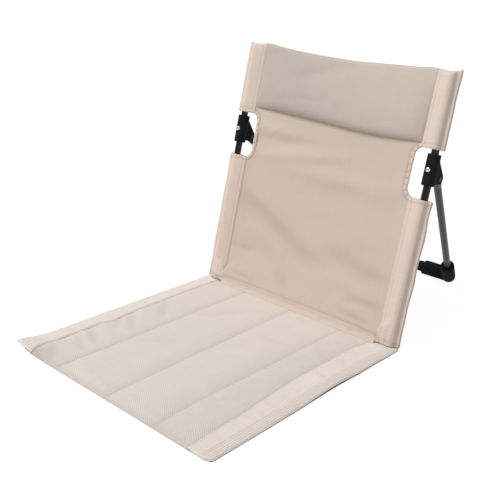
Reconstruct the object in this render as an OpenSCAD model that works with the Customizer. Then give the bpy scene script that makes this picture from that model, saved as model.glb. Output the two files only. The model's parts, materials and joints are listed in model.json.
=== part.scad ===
// Folding ground chair: a padded seat that lies on the floor, a cloth back on
// two steel posts, and a rear stand that folds against the back.
// Millimetres. +Z is up, -Y is the front, and left and right are as seen from the
// front. The origin is on the floor, in the middle of the chair's footprint.

/* [Chair] */
// Width over the cloth
chair_w = 450; // [420:1:500]
// Seat length, from the crease to the front edge
seat_l = 443; // [380:1:520]
// Height of the back, measured up the back from the crease
back_h = 462; // [440:1:540]
// Lean of the back behind the vertical
recline = 13.2; // [9:0.1:18]

/* [Frame tubes] */
// Outer diameter of the steel tubes
tube_d = 13; // [12:0.5:15]
// Wall of the steel tubes
tube_wall = 1; // [0.8:0.1:1.4]
// From the cloth's outer edge in to the axis of a post
post_inset = 15; // [13:0.5:18]
// Bend radius of the base bar, on its axis
bend_r = 30; // [26:1:36]
// Length of the base bar's end inside a post
spigot_l = 28; // [20:1:40]
// From the top of the back down to the top of a post
post_drop = 10; // [7:1:20]
// Height of the domed cap on a post
cap_dome_h = 3; // [2:0.5:5]
// Length of a cap's plug inside its post
cap_plug_l = 12; // [8:1:20]

/* [Seat] */
// Thickness of the dark base cloth
base_t = 1; // [0.8:0.1:1.6]
// Thickness of the cover cloth
cloth_t = 1.2; // [0.8:0.1:1.8]
// Height of the edge bands above the floor
band_h = 6; // [5:0.5:9]
// Width of an edge band
band_w = 47; // [36:1:56]
// Height of a channel's crown above the floor
channel_h = 8.5; // [7.5:0.5:12]
// Height of the sewn seams between the channels
seam_h = 3.4; // [3:0.1:4.5]
// Width of an outer channel
outer_channel_w = 65; // [50:1:80]
// Depth of the flat strip behind the channels
rear_strip_l = 14; // [12:1:26]
// Depth of the flat hem in front of the channels
front_hem_l = 6; // [4:1:16]
// How far the seat runs back under the base bar
seat_tail = 8; // [6:0.5:9]

/* [Back cloth] */
// Width of the sleeve that holds a post
sleeve_w = 42; // [38:1:46]
// Half thickness of a sleeve where it goes round the post
sleeve_r = 8.3; // [8.1:0.1:10]
// Thickness of a sleeve's wall
sleeve_t = 1.2; // [0.8:0.1:1.4]
// Length of an upper sleeve, down from the top of the back
upper_sleeve_l = 128; // [110:1:150]
// Height of the cut-out between the sleeves
window_h = 84; // [72:1:96]
// How far a cut-out reaches in past the sleeve's seam
window_bite = 8; // [5:1:14]
// Corner radius of a cut-out
window_r = 16; // [12:1:24]
// Width of the binding round a cut-out
binding_w = 9; // [7:0.5:12]
// Thickness of the binding
binding_t = 2.4; // [1.8:0.2:3.4]
// Thickness of the back panel
panel_t = 1.6; // [1.2:0.1:2.4]
// How far the panel bellies backwards between the posts
panel_belly = 6; // [2:0.5:8]
// Height of the headrest pad
headrest_h = 116; // [100:1:126]
// Crown of the headrest pad in front of the panel
headrest_crown = 17; // [10:0.5:20]

/* [Hinge bracket] */
// Length of a bracket along its post
bracket_l = 52; // [46:1:60]
// Outer diameter of a bracket
bracket_d = 22; // [20:0.5:25]
// From the middle of the cut-outs up to the middle of the brackets
bracket_rise = 8; // [0:1:14]
// From the bracket's middle down to the pivot
pivot_drop = 12; // [10:0.5:14]
// From the post's axis back to the pivot
pivot_back = 24; // [23:0.5:27]
// Radius of the lobes round the pivot
lobe_r = 9.5; // [9:0.1:10.5]
// Thickness of each ear of a bracket
ear_t = 3; // [2.4:0.1:4]
// Diameter of the pivot pin
pin_d = 5; // [4:0.5:6]
// Diameter of a rivet's head
rivet_head_d = 8; // [6:0.5:9]
// Diameter of a rivet's shank
rivet_d = 4; // [3:0.2:4.8]

/* [Rear stand] */
// From the crease back to the middle of the stand's feet
foot_back = 340; // [310:1:370]
// Distance between the two feet
foot_span = 256; // [236:1:300]
// Outer diameter of an elbow's socket, which is also its round foot
elbow_d = 27; // [25:0.5:30]
// Length of a socket, from the middle of its foot to its mouth
socket_l = 47; // [42:1:54]
// Depth of a leg in its socket
leg_depth = 30; // [22:1:34]
// Width of the opening at a socket's mouth
mouth_d = 17; // [16:0.5:19]
// Width and height of an elbow's arm
arm_w = 26; // [24:0.5:28]
// From the middle of the foot in to the end of the arm
arm_l = 58; // [50:1:66]
// Diameter of the collar at the end of an arm
collar_d = 22; // [19:0.5:24]
// Length of the collar
collar_l = 10; // [6:1:16]
// Depth of the crossbar in an elbow
crossbar_depth = 38; // [28:1:42]
// Radius of the flattened end of a leg
eye_r = 7; // [6:0.2:7.4]
// Thickness of the flattened end of a leg
eye_t = 7; // [5:0.5:8]
// Thickness of a nylon washer
washer_t = 0.4; // [0.3:0.1:0.8]

/* [Hidden] */
$fn = 48;

// Clearances and overruns
push_gap = 0.05; // between a tube and what is pushed into or over it, on each side
turn_gap = 0.05; // between a pin or bar and what turns on it, on each side
cloth_gap = 0.3; // between a soft piece and its neighbour
cut = 1; // overrun of every cut

// Frame
post_x = chair_w / 2 - post_inset;
tube_r = tube_d / 2;
tube_bore_r = tube_r - tube_wall;
bracket_r = bracket_d / 2;

// The base bar turns in a cloth tunnel that lies on the back end of the seat.
tunnel_bore_r = tube_r + turn_gap;
tunnel_r = sleeve_r;
bar_z = band_h + cloth_gap + tunnel_r;
bar_up = (bar_z - band_h) / cos(recline);
tunnel_l = 2 * (post_x - bend_r) - seat_tail;

// Heights up the back, from the crease
post_foot = bar_up + bend_r;
post_top = back_h - post_drop;
window_top = back_h - upper_sleeve_l;
window_foot = window_top - window_h;
window_mid = window_foot + window_h / 2;
sleeve_x = chair_w / 2 - sleeve_w;
panel_foot = bar_up + tunnel_r + cloth_gap;
bracket_up = window_mid + bracket_rise;
pivot_up = bracket_up - pivot_drop;

// The stand in the chair's frame, before the shift to the middle of the footprint
foot_flat = 0.5;
foot_z = elbow_d / 2 - foot_flat;
pivot_y = pivot_up * sin(recline) + pivot_back * cos(recline);
pivot_z = band_h + pivot_up * cos(recline) - pivot_back * sin(recline);
pivot_point = [post_x, pivot_y, pivot_z];
foot_point = [foot_span / 2, foot_back, foot_z];
leg_run = foot_point - pivot_point;
leg_l = norm(leg_run);
leg_way = leg_run / leg_l;
leg_pitch = atan2(leg_run[2], leg_run[1]);
open_angle = leg_pitch + recline;

// The origin lies midway between the seat's front edge and the back of the feet.
shift_y = (seat_l - foot_back - elbow_d / 2) / 2;

// Colours
cloth_colour = [0.83, 0.78, 0.71];
pad_colour = [0.78, 0.73, 0.67];
base_colour = [0.16, 0.15, 0.15];
foam_colour = [0.9, 0.9, 0.88];
post_colour = [0.07, 0.07, 0.08];
plastic_colour = [0.14, 0.14, 0.15];
leg_colour = [0.3, 0.3, 0.32];
bright_colour = [0.85, 0.85, 0.86];

// Frames and general shapes

// Puts the chair's own frame, with the crease at y = 0, over the middle of the footprint.
module in_chair() {
    translate([0, shift_y, 0]) children();
}

// X stays, Y is straight back from the back's face and Z runs up the back from the crease.
module in_back() {
    in_chair() translate([0, 0, band_h]) rotate([-recline, 0, 0]) children();
}

// Turns an outline, drawn with X to the back and Y up, into a plate t thick across X.
module side_plate(t) {
    rotate([90, 0, 90]) linear_extrude(t, center = true) children();
}

// Stands the children's Z axis on point p, towards point q.
module along(p, q) {
    way = q - p;
    translate(p) rotate([0, acos(way[2] / norm(way)), atan2(way[1], way[0])]) children();
}

module on_side(side) {
    if (side > 0) children();
    else mirror([1, 0, 0]) children();
}

module tube(l) {
    difference() {
        cylinder(h = l, r = tube_r);
        translate([0, 0, -cut]) cylinder(h = l + 2 * cut, r = tube_bore_r);
    }
}

// Facets of rounded edges and domes
edge_steps = 4;
dome_steps = 5;

function arc(centre, r, from, to, steps) =
    [for (k = [0:steps]) centre + r * [cos(from + (to - from) * k / steps), sin(from + (to - from) * k / steps)]];

// Outline of a dome, from its rim to the middle of its top.
function dome(r, h) = [for (k = [0:dome_steps]) [r * cos(90 * k / dome_steps), h * sin(90 * k / dome_steps)]];

// Angle, round a circle, at which a line from point p touches it.
function touch_angle(p, centre, r, side) =
    let (way = p - centre) atan2(way[1], way[0]) + side * acos(r / norm(way));

// The four corners of a quad as two triangles, clockwise as seen from outside.
function quad(a, b, c, d) = [[a, b, c], [a, c, d]];

// A closed solid between two grids of points with the same rows and columns.
// The front grid faces the side from which its rows run up and its columns to the right.
module grid_solid(front, back) {
    rows = len(front);
    cols = len(front[0]);
    all_front = [for (row = front) each row];
    all_back = [for (row = back) each row];
    size = rows * cols;
    function at(i, j) = i * cols + j;
    faces = [
        for (i = [0:rows - 2], j = [0:cols - 2])
            each quad(at(i, j), at(i + 1, j), at(i + 1, j + 1), at(i, j + 1)),
        for (i = [0:rows - 2], j = [0:cols - 2])
            each quad(size + at(i, j), size + at(i, j + 1), size + at(i + 1, j + 1), size + at(i + 1, j)),
        for (j = [0:cols - 2])
            each quad(at(0, j), at(0, j + 1), size + at(0, j + 1), size + at(0, j)),
        for (j = [0:cols - 2])
            each quad(at(rows - 1, j + 1), at(rows - 1, j), size + at(rows - 1, j), size + at(rows - 1, j + 1)),
        for (i = [0:rows - 2])
            each quad(at(i + 1, 0), at(i, 0), size + at(i, 0), size + at(i + 1, 0)),
        for (i = [0:rows - 2])
            each quad(at(i, cols - 1), at(i + 1, cols - 1), size + at(i + 1, cols - 1), size + at(i, cols - 1))
    ];
    polyhedron(points = concat(all_front, all_back), faces = faces);
}

// A cloth sleeve: rings of points outside, as many inside, open at the foot.
// With a closed top, each stack of rings ends in a flat lid.
module sleeve_solid(outer, inner, closed_top) {
    n = len(outer[0]);
    rings = len(outer);
    inner_rings = len(inner);
    first_inner = rings * n;
    function at(i, k) = i * n + k % n;
    function in_at(i, k) = first_inner + i * n + k % n;
    half = n / 2;
    top_lid = closed_top
        ? [for (k = [0:half - 2]) each quad(at(rings - 1, k), at(rings - 1, n - 1 - k),
              at(rings - 1, n - 2 - k), at(rings - 1, k + 1))]
        : [];
    inner_lid = closed_top
        ? [for (k = [0:half - 2]) each quad(in_at(inner_rings - 1, k), in_at(inner_rings - 1, k + 1),
              in_at(inner_rings - 1, n - 2 - k), in_at(inner_rings - 1, n - 1 - k))]
        : [];
    top_rim = closed_top
        ? []
        : [for (k = [0:n - 1]) each quad(at(rings - 1, k), in_at(inner_rings - 1, k),
              in_at(inner_rings - 1, k + 1), at(rings - 1, k + 1))];
    faces = [
        for (i = [0:rings - 2], k = [0:n - 1]) each quad(at(i, k), at(i + 1, k), at(i + 1, k + 1), at(i, k + 1)),
        for (i = [0:inner_rings - 2], k = [0:n - 1])
            each quad(in_at(i, k), in_at(i, k + 1), in_at(i + 1, k + 1), in_at(i + 1, k)),
        for (k = [0:n - 1]) each quad(at(0, k + 1), in_at(0, k + 1), in_at(0, k), at(0, k)),
        each top_rim,
        each top_lid,
        each inner_lid
    ];
    points = [for (ring = outer) each ring, for (ring = inner) each ring];
    polyhedron(points = points, faces = faces);
}

// Seat

band_x = chair_w / 2 - band_w;
channel_edges = [-band_x, outer_channel_w - band_x, 0, band_x - outer_channel_w, band_x];
crown_steps = 8; // columns of each channel's crown
seam_room = 3; // from a seam to the foam beside it
shoulder_l = 18; // length over which a channel's end rises
end_rise_shares = [0, 0.55, 0.88, 1]; // height of a channel's end, along its shoulder
end_run_shares = [0, 0.2, 0.5, 1];
hem_slope_l = 2; // length over which a flat hem drops to the seams
band_foot_share = 0.3; // rounding of a band's outer edge at its foot, of its thickness
band_top_share = 0.6; // the same at its top

// Rounded profile across one channel, from 0 at a seam to 1 over the middle.
function crown_share(u) = sqrt(1 - pow(u, 4));

// Rows of the seat cover, front to back: place, height of its seams, share of the crown.
channels_front = front_hem_l - seat_l;
end_last = len(end_run_shares) - 1;
function seat_rows() = concat(
    [[-seat_l, seam_h, 0], [channels_front - hem_slope_l, (seam_h + band_h) / 2, 0]],
    [for (k = [0:end_last]) [channels_front + shoulder_l * end_run_shares[k], seam_h, end_rise_shares[k]]],
    [[(channels_front - rear_strip_l) / 2, seam_h, 1]],
    [for (k = [end_last:-1:0]) [-rear_strip_l - shoulder_l * end_run_shares[k], seam_h, end_rise_shares[k]]],
    [[hem_slope_l - rear_strip_l, band_h, 0], [seat_tail, band_h, 0]]
);

// Across the cover: place and share of the crown, four channels side by side.
function seat_columns() = concat(
    [for (c = [0:3], k = [0:crown_steps - 1])
        let (u = -cos(180 * k / crown_steps))
        [mid_of(c) + u * half_of(c), crown_share(u)]],
    [[band_x, 0]]
);
function mid_of(c) = (channel_edges[c] + channel_edges[c + 1]) / 2;
function half_of(c) = (channel_edges[c + 1] - channel_edges[c]) / 2;

function cover_grid(drop) = [
    for (row = seat_rows())
        [for (col = seat_columns())
            [col[0] * (1 - cloth_gap / band_x), row[0], row[1] + (channel_h - seam_h) * row[2] * col[1] - drop]]
];

module seat_cover() {
    color(pad_colour) in_chair() grid_solid(cover_grid(0), cover_grid(cloth_t));
}

module seat_base() {
    color(base_colour)
        in_chair()
            translate([-chair_w / 2, -seat_l, 0])
                cube([chair_w, seat_l + seat_tail, base_t]);
}

// Foam board of channel c, cut to the room under the cover.
module foam(c) {
    foam_w = half_of(c) - seam_room;
    foam_front = channels_front + shoulder_l;
    foam_l = -rear_strip_l - shoulder_l - foam_front;
    under = seam_h - cloth_t - cloth_gap;
    outline = [
        [mid_of(c) - foam_w, base_t],
        for (k = [1:crown_steps - 1])
            let (u = -cos(180 * k / crown_steps))
            [mid_of(c) + u * foam_w, under + (channel_h - seam_h) * crown_share(u)],
        [mid_of(c) + foam_w, base_t]
    ];
    color(foam_colour)
        in_chair()
            translate([0, foam_front + foam_l, 0])
                rotate([90, 0, 0])
                    linear_extrude(foam_l) polygon(outline);
}

module edge_band(side) {
    inner_x = band_x + cloth_gap;
    foot_r = (band_h - base_t) * band_foot_share;
    top_r = (band_h - base_t) * band_top_share;
    outline = concat(
        [[inner_x, base_t]],
        arc([chair_w / 2 - foot_r, base_t + foot_r], foot_r, -90, 0, edge_steps),
        arc([chair_w / 2 - top_r, band_h - top_r], top_r, 0, 90, edge_steps),
        [[inner_x + cloth_t, band_h], [inner_x, band_h - cloth_t]]
    );
    color(cloth_colour)
        on_side(side)
            in_chair()
                translate([0, seat_tail, 0])
                    rotate([90, 0, 0])
                        linear_extrude(seat_l + seat_tail) polygon(outline);
}

module bar_tunnel() {
    color(cloth_colour)
        in_back()
            translate([0, 0, bar_up])
                rotate([0, 90, 0])
                    difference() {
                        cylinder(h = tunnel_l, r = tunnel_r, center = true);
                        cylinder(h = tunnel_l + 2 * cut, r = tunnel_bore_r, center = true);
                    }
}

// Frame of the back

// The base bar's run, as a rod of radius r: a straight, two quarter bends and two upright ends.
bar_straight = 2 * (post_x - bend_r);
module bar_run(r, end_r, end_l) {
    rotate([0, 90, 0]) cylinder(h = bar_straight, r = r, center = true);
    for (side = [-1, 1]) {
        translate([side * bar_straight / 2, 0, bend_r])
            rotate([90, 0, 0])
                rotate_extrude(angle = side * 90, start = -90)
                    translate([bend_r, 0]) circle(r);
        translate([side * post_x, 0, bend_r - push_gap]) cylinder(h = end_l, r = end_r);
    }
}

// A bent tube whose ends are drawn thinner and push into the posts.
module base_bar() {
    bore_r = tube_bore_r - tube_wall;
    color(post_colour)
        in_back()
            translate([0, 0, bar_up])
                difference() {
                    bar_run(tube_r, tube_bore_r - push_gap, spigot_l);
                    bar_run(bore_r, bore_r, spigot_l + cut);
                }
}

module post(side) {
    color(post_colour)
        on_side(side)
            in_back()
                difference() {
                    translate([post_x, 0, post_foot]) tube(post_top - post_foot);
                    rivet_hole();
                }
}

module post_cap(side) {
    color(plastic_colour)
        on_side(side)
            in_back()
                translate([post_x, 0, post_top + push_gap]) {
                    translate([0, 0, -cap_plug_l]) cylinder(h = cap_plug_l, r = tube_bore_r - push_gap);
                    rotate_extrude() polygon(concat([[0, 0]], dome(tube_r, cap_dome_h)));
                }
}

// Cloth of the back

panel_cols = 12;
hem_h = 3; // sag of the top edge between the posts
fold_h = 0.7; // depth of the soft folds across the panel
fold_n = 5;

// Edge of the cut-out and its binding at height s, from the middle of the chair.
function window_edge(s, grow) =
    let (
        half = window_h / 2 + grow,
        r = window_r + grow,
        over = abs(s - window_mid) - (half - r),
        inner = sleeve_x - window_bite - grow
    )
    over <= 0 ? inner : over < r ? inner + r - sqrt(r * r - over * over) : sleeve_x;

// Inner edge of a sleeve at height s: it reaches in over the base bar's bend at its foot.
corner_reach = 5;
function sleeve_inner(s) =
    let (rise = (s - reach_from) / (reach_to - reach_from))
    sleeve_x - corner_reach * (1 - min(1, max(0, rise)));

function panel_edge(s) = min(sleeve_inner(s), window_edge(s, binding_w + push_gap)) - push_gap;

window_run = window_h / 2 + binding_w;
corner_run = window_r + binding_w;
corner_steps = 6; // facets of a cut-out's round corner, the same in the panel and the binding
corner_shares = [for (k = [0:corner_steps]) 1 - cos(90 * k / corner_steps)];
below_shares = [0.1, 0.2, 0.3, 0.4, 0.5, 0.6, 0.7, 0.8, 0.92];
above_shares = [0.06, 0.2, 0.4, 0.6, 0.8, 0.93, 1];
reach_from = bar_up + bend_r / 2;
reach_to = post_foot + tube_r;
panel_heights = concat(
    [panel_foot, reach_from, reach_to],
    [for (t = below_shares) reach_to + (window_mid - window_run - reach_to) * t],
    [for (t = corner_shares) window_mid - window_run + corner_run * t],
    [for (k = [corner_steps:-1:0]) window_mid + window_run - corner_run * corner_shares[k]],
    [for (t = above_shares) window_mid + window_run + (back_h - hem_h - window_mid - window_run) * t]
);

// Belly and soft folds of the panel, backwards from the plane of the posts.
function panel_back(u, s) =
    let (rise = (s - panel_foot) / (window_top - panel_foot))
    rise < 0 || rise > 1
        ? 0
        : (1 - u * u) * sin(180 * rise) * (panel_belly + fold_h * sin(360 * fold_n * rise + 90 * u));

function panel_grid(side_t) = [
    for (s = panel_heights)
        [for (j = [0:panel_cols])
            let (u = 2 * j / panel_cols - 1)
            [u * panel_edge(s), panel_back(u, s) + side_t,
             s - hem_h * (1 - u * u) * max(0, (s - window_top) / upper_sleeve_l)]]
];

module back_panel() {
    color(cloth_colour) in_back() grid_solid(panel_grid(-panel_t / 2), panel_grid(panel_t / 2));
}

pad_cols = 18;
pad_rows = 14;
pad_rim = 3; // thickness of the pad at its sewn rim
pad_pull = 3; // how far the pad's sides draw in between its corners
pad_low_share = 0.25; // how much fuller the pad is towards its lower edge
pad_back = max(panel_t, binding_t) / 2 + cloth_gap; // from the posts' plane to the pad

function pad_share(u, v) =
    pow(max(0, 1 - pow(u, 6)), 0.5) * pow(max(0, 1 - pow(v, 4)), 0.5) * (1 - pad_low_share * (1 + v) / 2);

function pad_grid(front) = [
    for (i = [0:pad_rows])
        [for (j = [0:pad_cols])
            let (
                u = -cos(180 * j / pad_cols),
                v = -cos(180 * i / pad_rows),
                half_w = sleeve_x - 2 * cloth_gap - pad_pull * (1 - v * v),
                top = back_h - 2 * hem_h,
                half_h = (headrest_h - pad_pull * (1 - u * u)) / 2
            )
            [u * half_w,
             -pad_back - (front ? pad_rim + (headrest_crown - pad_rim) * pad_share(u, v) : 0),
             top - headrest_h / 2 + v * half_h - hem_h * (1 - u * u)]]
];

module headrest_pad() {
    color(pad_colour) in_back() grid_solid(pad_grid(true), pad_grid(false));
}

// One ring of a sleeve: a flat pocket that swells from core_x to the post's axis.
ring_steps = 4;
tip_t = 1.4; // half thickness of a sleeve at its sewn edges
function sleeve_half_ring(inner_x, core_x, outer_x, r, tip) =
    let (
        outer_touch = touch_angle([outer_x, tip], [post_x, 0], r, 1),
        inner_touch = touch_angle([inner_x, tip], [core_x, 0], r, -1)
    )
    concat(
        [[outer_x, tip]],
        arc([post_x, 0], r, outer_touch, 90, ring_steps),
        arc([core_x, 0], r, 90, inner_touch, ring_steps),
        [[inner_x, tip]]
    );

function sleeve_ring(s, core_x, r, inset) =
    let (
        tip = inset > 0 ? tip_t - sleeve_t : tip_t,
        half = sleeve_half_ring(sleeve_inner(s) + inset, core_x, chair_w / 2 - inset, r, tip),
        n = len(half)
    )
    concat([for (p = half) [p[0], p[1], s]], [for (k = [n - 1:-1:0]) [half[k][0], -half[k][1], s]]);

sleeve_seam = 3; // width of a sleeve's sewn edges
crown_w = 2; // least width of the flat over a post
post_core_x = post_x - crown_w;

// Low rings make room for the base bar's bend, and the foot is rounded about the bar.
bend_core_x = sleeve_x - corner_reach + sleeve_seam + sleeve_r + crown_w;
foot_drop = 5; // how far a lower sleeve reaches below the bar's axis
lower_rings = [
    [bar_up - foot_drop, bend_core_x, sqrt(sleeve_r * sleeve_r - foot_drop * foot_drop)],
    [bar_up, bend_core_x, sleeve_r],
    [reach_from, bend_core_x, sleeve_r],
    [reach_to, post_core_x, sleeve_r],
    [(post_foot + window_foot) / 2, post_core_x, sleeve_r],
    [window_foot, post_core_x, sleeve_r]
];

module lower_sleeve(side) {
    color(cloth_colour)
        on_side(side)
            in_back()
                difference() {
                    sleeve_solid(
                        [for (ring = lower_rings) sleeve_ring(ring[0], ring[1], ring[2], 0)],
                        [for (ring = lower_rings) sleeve_ring(ring[0], ring[1], ring[2] - sleeve_t, sleeve_seam)],
                        false
                    );
                    translate([0, 0, bar_up]) bar_run(tube_r + cloth_gap, tube_r + cloth_gap, tube_d);
                }
}

lid_r = 3; // half thickness of an upper sleeve at its closed top
cap_room = 1; // from a post's cap up to the cloth
sleeve_roof = post_top + cap_dome_h + cap_room;
upper_rings = [
    [window_top, sleeve_r],
    [(window_top + sleeve_roof) / 2, sleeve_r],
    [sleeve_roof, sleeve_r],
    [back_h, lid_r]
];

module upper_sleeve(side) {
    color(cloth_colour)
        on_side(side)
            in_back()
                sleeve_solid(
                    [for (ring = upper_rings) sleeve_ring(ring[0], post_core_x, ring[1], 0)],
                    [for (k = [0:2]) sleeve_ring(upper_rings[k][0], post_core_x, sleeve_r - sleeve_t, sleeve_seam)],
                    true
                );
}

// C-shaped binding sewn round the edge of a cut-out, as far out as the sleeves' seams.
module window_binding(side) {
    color(cloth_colour)
        on_side(side)
            in_back()
                translate([0, binding_t / 2, 0])
                    rotate([90, 0, 0])
                        difference() {
                            linear_extrude(binding_t) polygon(window_outline(binding_w));
                            translate([0, 0, -cut])
                                linear_extrude(binding_t + 2 * cut) polygon(window_outline(0));
                            translate([sleeve_x - push_gap, window_foot - window_h, -cut])
                                cube([sleeve_w + window_r, 3 * window_h, binding_t + 2 * cut]);
                        }
}

// Outline of the cut-out, grown on all sides. It runs on past the sleeve's outer edge.
function window_outline(grow) =
    let (
        r = window_r + grow,
        inner = sleeve_x - window_bite - grow + r,
        top = window_mid + window_h / 2 + grow - r,
        foot = window_mid - window_h / 2 - grow + r
    )
    concat(
        [[chair_w / 2, top + r]],
        arc([inner, top], r, 90, 180, corner_steps),
        arc([inner, foot], r, 180, 270, corner_steps),
        [[chair_w / 2, foot - r]]
    );

// Hinge brackets

bracket_edge = 0.8; // chamfer at a bracket's ends
lug_top = 16; // from the bracket's middle up to the top of its lug
stop_gap = 0.3; // between the open leg and its stop
slot_w = eye_t + 2 * (washer_t + turn_gap);
lug_w = slot_w + 2 * ear_t;
lobe_steps = 14;
pivot_at = [pivot_back, -pivot_drop];

module in_bracket() {
    in_back() translate([post_x, 0, bracket_up]) children();
}

module rivet_hole() {
    translate([post_x, -bracket_r / 2, bracket_up])
        rotate([90, 0, 0])
            cylinder(h = bracket_r, r = rivet_d / 2 + push_gap, center = true);
}

// Side outline of the lug: it slopes down from the sleeve to a round lobe at the pivot.
module lug_outline() {
    root = [bracket_r - bracket_edge, lug_top];
    touch = touch_angle(root, pivot_at, lobe_r, -1);
    polygon(concat(
        [[0, lug_top], root],
        arc(pivot_at, lobe_r, touch, -90, lobe_steps),
        [[0, pivot_at[1] - lobe_r]]
    ));
}

// Room for the leg's end: everything below the stop, behind the round of the sleeve.
module leg_room() {
    reach = 2 * (pivot_back + lobe_r);
    intersection() {
        translate(pivot_at)
            rotate(open_angle)
                translate([-reach, -reach]) square([2 * reach, reach + eye_r + stop_gap]);
        translate([bracket_r + push_gap, -reach]) square([reach, 2 * reach]);
    }
}

module bracket(side) {
    color(plastic_colour)
        on_side(side)
            difference() {
                in_bracket()
                    difference() {
                        union() {
                            rotate_extrude()
                                polygon([
                                    [0, -bracket_l / 2],
                                    [bracket_r - bracket_edge, -bracket_l / 2],
                                    [bracket_r, bracket_edge - bracket_l / 2],
                                    [bracket_r, bracket_l / 2 - bracket_edge],
                                    [bracket_r - bracket_edge, bracket_l / 2],
                                    [0, bracket_l / 2]
                                ]);
                            side_plate(lug_w) lug_outline();
                        }
                        translate([0, 0, -bracket_l / 2 - cut])
                            cylinder(h = bracket_l + 2 * cut, r = tube_r + push_gap);
                        side_plate(slot_w) leg_room();
                        translate([0, pivot_back, -pivot_drop])
                            rotate([0, 90, 0])
                                cylinder(h = lug_w + 2 * cut, r = pin_d / 2 + turn_gap, center = true);
                    }
                in_back() rivet_hole();
            }
}

rivet_head_h = 1.6;
rivet_dimple_d = 1.8;
rivet_tail_r = 2.8;

// A blind rivet's domed head with the small hole that its stem leaves. Its tail clears the
// round of the post's bore.
module rivet(grip) {
    tail = -grip - (tube_bore_r - sqrt(tube_bore_r * tube_bore_r - rivet_tail_r * rivet_tail_r)) - push_gap;
    rotate_extrude()
        polygon(concat(
            [[0, tail - rivet_d], [rivet_tail_r, tail - rivet_d / 2], [rivet_tail_r, tail],
             [rivet_d / 2, tail], [rivet_d / 2, push_gap], [rivet_head_d / 2, push_gap]],
            [for (p = dome(rivet_head_d / 2, rivet_head_h)) if (p[0] > rivet_dimple_d / 2) p + [0, push_gap]],
            [[rivet_dimple_d / 2, rivet_head_h], [rivet_dimple_d / 2, rivet_head_h / 2], [0, rivet_head_h / 2]]
        ));
}

module bracket_rivet(side) {
    color(bright_colour)
        on_side(side)
            in_bracket()
                translate([0, -bracket_r, 0])
                    rotate([90, 0, 0])
                        rivet(bracket_r - tube_bore_r);
}

pin_head_r = 4.2;
pin_head_h = 1.2;

module in_pivot() {
    in_back() translate([post_x, pivot_back, pivot_up]) rotate([0, 90, 0]) children();
}

module pivot_pin(side) {
    half = lug_w / 2 + push_gap;
    head = dome(pin_head_r, pin_head_h);
    color(leg_colour)
        on_side(side)
            in_pivot()
                rotate_extrude()
                    polygon(concat(
                        [for (k = [dome_steps:-1:0]) [head[k][0], -half - head[k][1]]],
                        [[pin_d / 2, -half], [pin_d / 2, half]],
                        [for (p = head) p + [0, half]]
                    ));
}

washer_r = 6;

module pivot_washers(side) {
    color(foam_colour)
        on_side(side)
            in_pivot()
                for (face = [-1, 1])
                    translate([0, 0, face * (slot_w - washer_t) / 2])
                        difference() {
                            cylinder(h = washer_t, r = washer_r, center = true);
                            cylinder(h = washer_t + 2 * cut, r = pin_d / 2 + turn_gap, center = true);
                        }
}

// Rear stand

flare_from = 10.5; // from the pivot to where the flattened end starts to round out
flare_to = 26; // from the pivot to where the leg is a full tube
flat_l = 0.5;
eye_steps = 12;

// Side outline of a leg's flat end: round about the pivot, then straight along the leg.
module eye_outline() {
    polygon(concat(arc([0, 0], eye_r, 90, 270, eye_steps), [[flare_from + flat_l, -eye_r], [flare_from + flat_l, eye_r]]));
}

// A tube whose top is pressed flat and bored for the pivot pin.
module leg(side) {
    tube_from = pivot_point + leg_way * flare_to;
    tube_to = foot_point - leg_way * (socket_l - leg_depth);
    color(leg_colour)
        on_side(side)
            in_chair()
                difference() {
                    union() {
                        along(tube_from, tube_to)
                            difference() {
                                cylinder(h = norm(tube_to - tube_from), r = tube_r);
                                translate([0, 0, tube_d])
                                    cylinder(h = norm(tube_to - tube_from), r = tube_bore_r);
                            }
                        hull() {
                            along(tube_from, tube_to)
                                cylinder(h = 2 * flat_l, r = tube_r - push_gap, $fn = 32);
                            translate(pivot_point)
                                rotate([leg_pitch, 0, 0])
                                    translate([push_gap - eye_t / 2, flare_from - flat_l, push_gap - eye_r])
                                        cube([eye_t - 2 * push_gap, flat_l, 2 * (eye_r - push_gap)]);
                        }
                        translate(pivot_point)
                            rotate([leg_pitch, 0, 0])
                                side_plate(eye_t) eye_outline();
                    }
                    translate(pivot_point)
                        rotate([0, 90, 0])
                            cylinder(h = eye_t + 2 * cut, r = pin_d / 2 + turn_gap, center = true);
                }
}

arm_edge_r = 7; // rounding of an arm's long edges
arm_lift = 3; // height of an arm's underside above the floor
elbow_edge = 1.5; // chamfers of an elbow
ring_d = 19; // small ring at the crossbar's side of the collar
ring_l = 3;
arm_z = arm_lift + arm_w / 2;
crossbar_end = foot_span / 2 - arm_l - collar_l - ring_l;

// Square outline with rounded corners, drawn round its own middle.
function rounded_square(w, r) =
    [for (q = [0:3]) each arc([for (d = [0, 1]) (w / 2 - r) * (d == 0 ? cos(90 * q + 45) : sin(90 * q + 45)) * sqrt(2)],
        r, 90 * q, 90 * q + 90, edge_steps)];

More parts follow.
